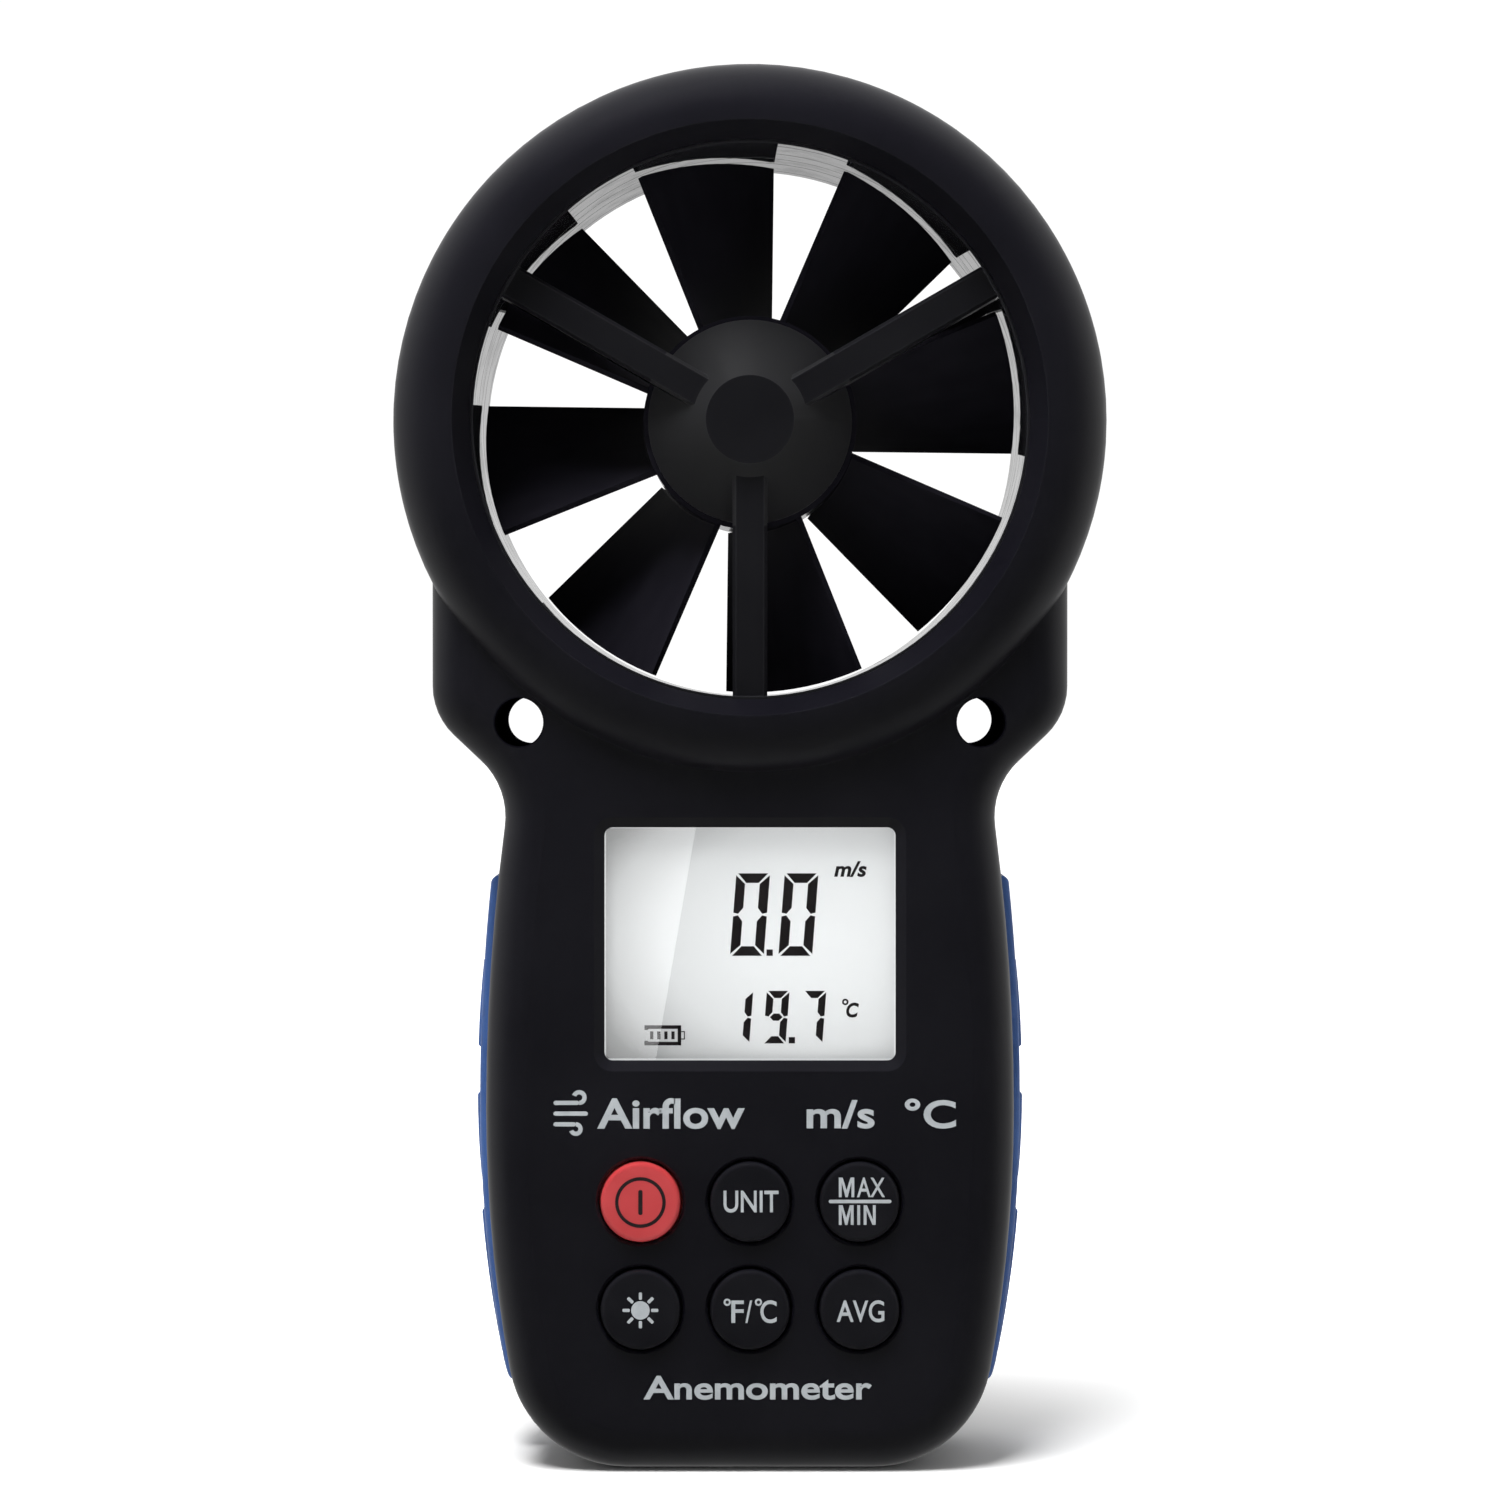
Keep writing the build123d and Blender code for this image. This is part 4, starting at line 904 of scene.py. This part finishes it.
def print_keys():
    print_power_symbol()
    print_sun()
    print_max_min_bar()
    print_degree_scale()
    label_text("print_unit", "unit", "UNIT", (0.12, 0.1), 6.4, 2.55)
    print_max_min_letters()
    label_text("print_ax", "maxmin", "AX", (1.32, 1.76), 3.24, MAX_MIN_TALL, 0.008)
    label_text("print_average", "average", "AVG", (0.1, -0.1), 5.55, 2.55)


# Words on the face: name, text, x and z of the middle, width and height, in mm
FACE_WORDS = (
    ("print_airflow", "Airflow", -9.2, 41.95, 17.2, 3.6),
    ("print_units", "m/s  °C", 15.3, 41.95, 17.4, 3.5),
    ("print_anemometer", "Anemometer", 0.9, 10.0, 26.6, 2.8),
)
FACE_WEIGHT = 0.022

# The wind sign: each line's length and the radius of its curl, upward or, below 0, downward
WIND_LINES = ((3.0, 0.62), (4.0, 0.0), (2.6, -0.55))
WIND_LEFT, WIND_TOP, WIND_STEP = -22.9 * MM, 43.2, 1.25
WIND_STROKE = 0.5 * MM


def print_face():
    """Plain words, and a small wind sign of three curled lines."""
    for name, text, x, z, width, height in FACE_WORDS:
        centre = (x * MM, z * MM)
        mesh = text_mesh(name, text, centre, width * MM, height * MM, FACE_Y, weight=FACE_WEIGHT)
        add_piece(name, mesh, PRINT_WHITE, "housing")
    bm = bmesh.new()
    for row, (length, curl) in enumerate(WIND_LINES):
        z = (WIND_TOP - WIND_STEP * row) * MM
        middle = (WIND_LEFT + length * MM / 2, z)
        outline_prism(bm, bar_points(middle, length * MM, WIND_STROKE, WIND_STROKE / 2), FACE_Y)
        if curl:
            curl_arc(bm, (WIND_LEFT + length * MM, z + curl * MM), abs(curl) * MM, curl > 0)
    add_piece("print_wind_sign", mesh_from(bm, "print_wind_sign"), PRINT_WHITE, "housing")


def curl_arc(bm, centre, radius, upward):
    """The hooked end of a wind line: about two thirds of a turn from the line's end."""
    steps = 18
    start, sweep = (-90, 250) if upward else (90, -250)
    turn = [math.radians(start + sweep * i / steps) for i in range(steps + 1)]
    outer, inner = [
        [(centre[0] + reach * math.cos(a), centre[1] + reach * math.sin(a)) for a in turn]
        for reach in (radius + WIND_STROKE / 2, radius - WIND_STROKE / 2)
    ]
    for i in range(steps):
        outline_prism(bm, [outer[i], outer[i + 1], inner[i + 1], inner[i]], FACE_Y)


# Display digits. A digit's form is its width, height, stroke and the gap between its segments, in mm.
SEGMENT_SETS = {"0": "abcdef", "1": "bc", "7": "abc", "9": "abcdfg"}
BIG_FORM, SMALL_FORM = (3.95, 9.65, 1.12, 0.22), (2.66, 6.15, 0.84, 0.17)
DIGIT_LEAN = 0.077
POINT_SIZE = 0.74

# The reading: each digit with the x of its lower left corner, the point's x and the line's foot
SPEED_DIGITS, SPEED_POINT, SPEED_FOOT = (("0", -2.34), ("0", 3.32)), 2.3, 60.2
WARMTH_DIGITS, WARMTH_POINT, WARMTH_FOOT = (("1", -2.75), ("9", 1.5), ("7", 5.8)), 4.9, 49.95

# The units in the display: name, text, x and z of the middle, width, height and weight
DISPLAY_UNITS = (
    ("display_speed_unit", "m/s", 11.75, 70.35, 3.8, 1.85, 0.03),
    ("display_scale_unit", "C", 12.0, 53.85, 1.5, 1.75, 0.035),
)
UNIT_LEAN = 0.2
DISPLAY_DEGREE, DISPLAY_DEGREE_RING, DISPLAY_DEGREE_HOLE = (11.15 * MM, 54.8 * MM), 0.38 * MM, 0.17 * MM


def segment_outlines(width, height, stroke, gap):
    """The seven segments of one digit as outlines from its lower left corner, before it is leant."""
    w, h, t, g = width, height, stroke, gap
    m = h / 2
    side = [(0, g), (0, m - g), (t * 0.5, m - g * 0.4), (t, m - t * 0.5 - g), (t, t + g * 0.6)]
    shapes = {"e": side}
    shapes["f"] = [(x, h - z) for x, z in side]
    shapes["c"] = [(w - x, z) for x, z in side]
    shapes["b"] = [(w - x, h - z) for x, z in side]
    shapes["d"] = [(g, 0), (w - g, 0), (w - t - g * 0.6, t), (t + g * 0.6, t)]
    shapes["a"] = [(x, h - z) for x, z in shapes["d"]]
    shapes["g"] = [
        (t * 0.5 + g, m), (t + g, m + t / 2), (w - t - g, m + t / 2),
        (w - t * 0.5 - g, m), (w - t - g, m - t / 2), (t + g, m - t / 2),
    ]
    return shapes


def draw_number(bm, digits, point_x, foot, form):
    """One line of the reading: its digits, leant to the right, and its decimal point."""
    shapes = segment_outlines(*form)
    for character, left in digits:
        for name in SEGMENT_SETS[character]:
            points = [((left + x + DIGIT_LEAN * z) * MM, (foot + z) * MM) for x, z in shapes[name]]
            outline_prism(bm, points, GLASS_Y)
    centre = (point_x * MM, (foot + POINT_SIZE / 2) * MM)
    outline_prism(bm, bar_points(centre, POINT_SIZE * MM, POINT_SIZE * MM), GLASS_Y)


def show_display():
    """The reading: wind speed above, air temperature below, their units and the battery's charge."""
    bm = bmesh.new()
    draw_number(bm, SPEED_DIGITS, SPEED_POINT, SPEED_FOOT, BIG_FORM)
    draw_number(bm, WARMTH_DIGITS, WARMTH_POINT, WARMTH_FOOT, SMALL_FORM)
    ring_prism(bm, DISPLAY_DEGREE, DISPLAY_DEGREE_RING, DISPLAY_DEGREE_HOLE, GLASS_Y)
    draw_charge(bm)
    add_piece("display_segments", mesh_from(bm, "display_segments"), SEGMENT_BLACK, "housing")
    for name, text, x, z, width, height, weight in DISPLAY_UNITS:
        size = (width * MM, height * MM)
        mesh = text_mesh(name, text, (x * MM, z * MM), *size, GLASS_Y, lean=UNIT_LEAN, weight=weight)
        add_piece(name, mesh, SEGMENT_BLACK, "housing")


def draw_charge(bm):
    """A battery sign, open at its left end, with four bars. Its sizes are in mm."""
    left, right, low, high, line = -12.35, -8.05, 49.72, 52.07, 0.42
    top_centre, base_centre = high - line / 2, low + line / 2
    middle_x, middle_z = (left + right) / 2, (low + high) / 2
    # the x, z, width and height of each stroke: case, contact at the right end, then the bars
    marks = [
        (middle_x, top_centre, right - left, line),
        (middle_x, base_centre, right - left, line),
        (right - line / 2, middle_z, line, high - low),
        (left + line / 2, high - 0.27, line, 0.54),
        (left + line / 2, low + 0.27, line, 0.54),
        (right + 0.18, middle_z + 0.43, 0.36, 0.12),
        (right + 0.18, middle_z - 0.43, 0.36, 0.12),
        (right + 0.37, middle_z, 0.12, 0.98),
    ]
    marks += [(left + 0.85 + 0.83 * i, middle_z, 0.38, 0.92) for i in range(4)]
    for x, z, width, height in marks:
        outline_prism(bm, bar_points((x * MM, z * MM), width * MM, height * MM), GLASS_Y)


aim_camera()
light_world()
add_lights()
lay_floor()
dress_nodes()
print_keys()
print_face()
show_display()
bpy.context.scene.view_settings.view_transform = "Standard"
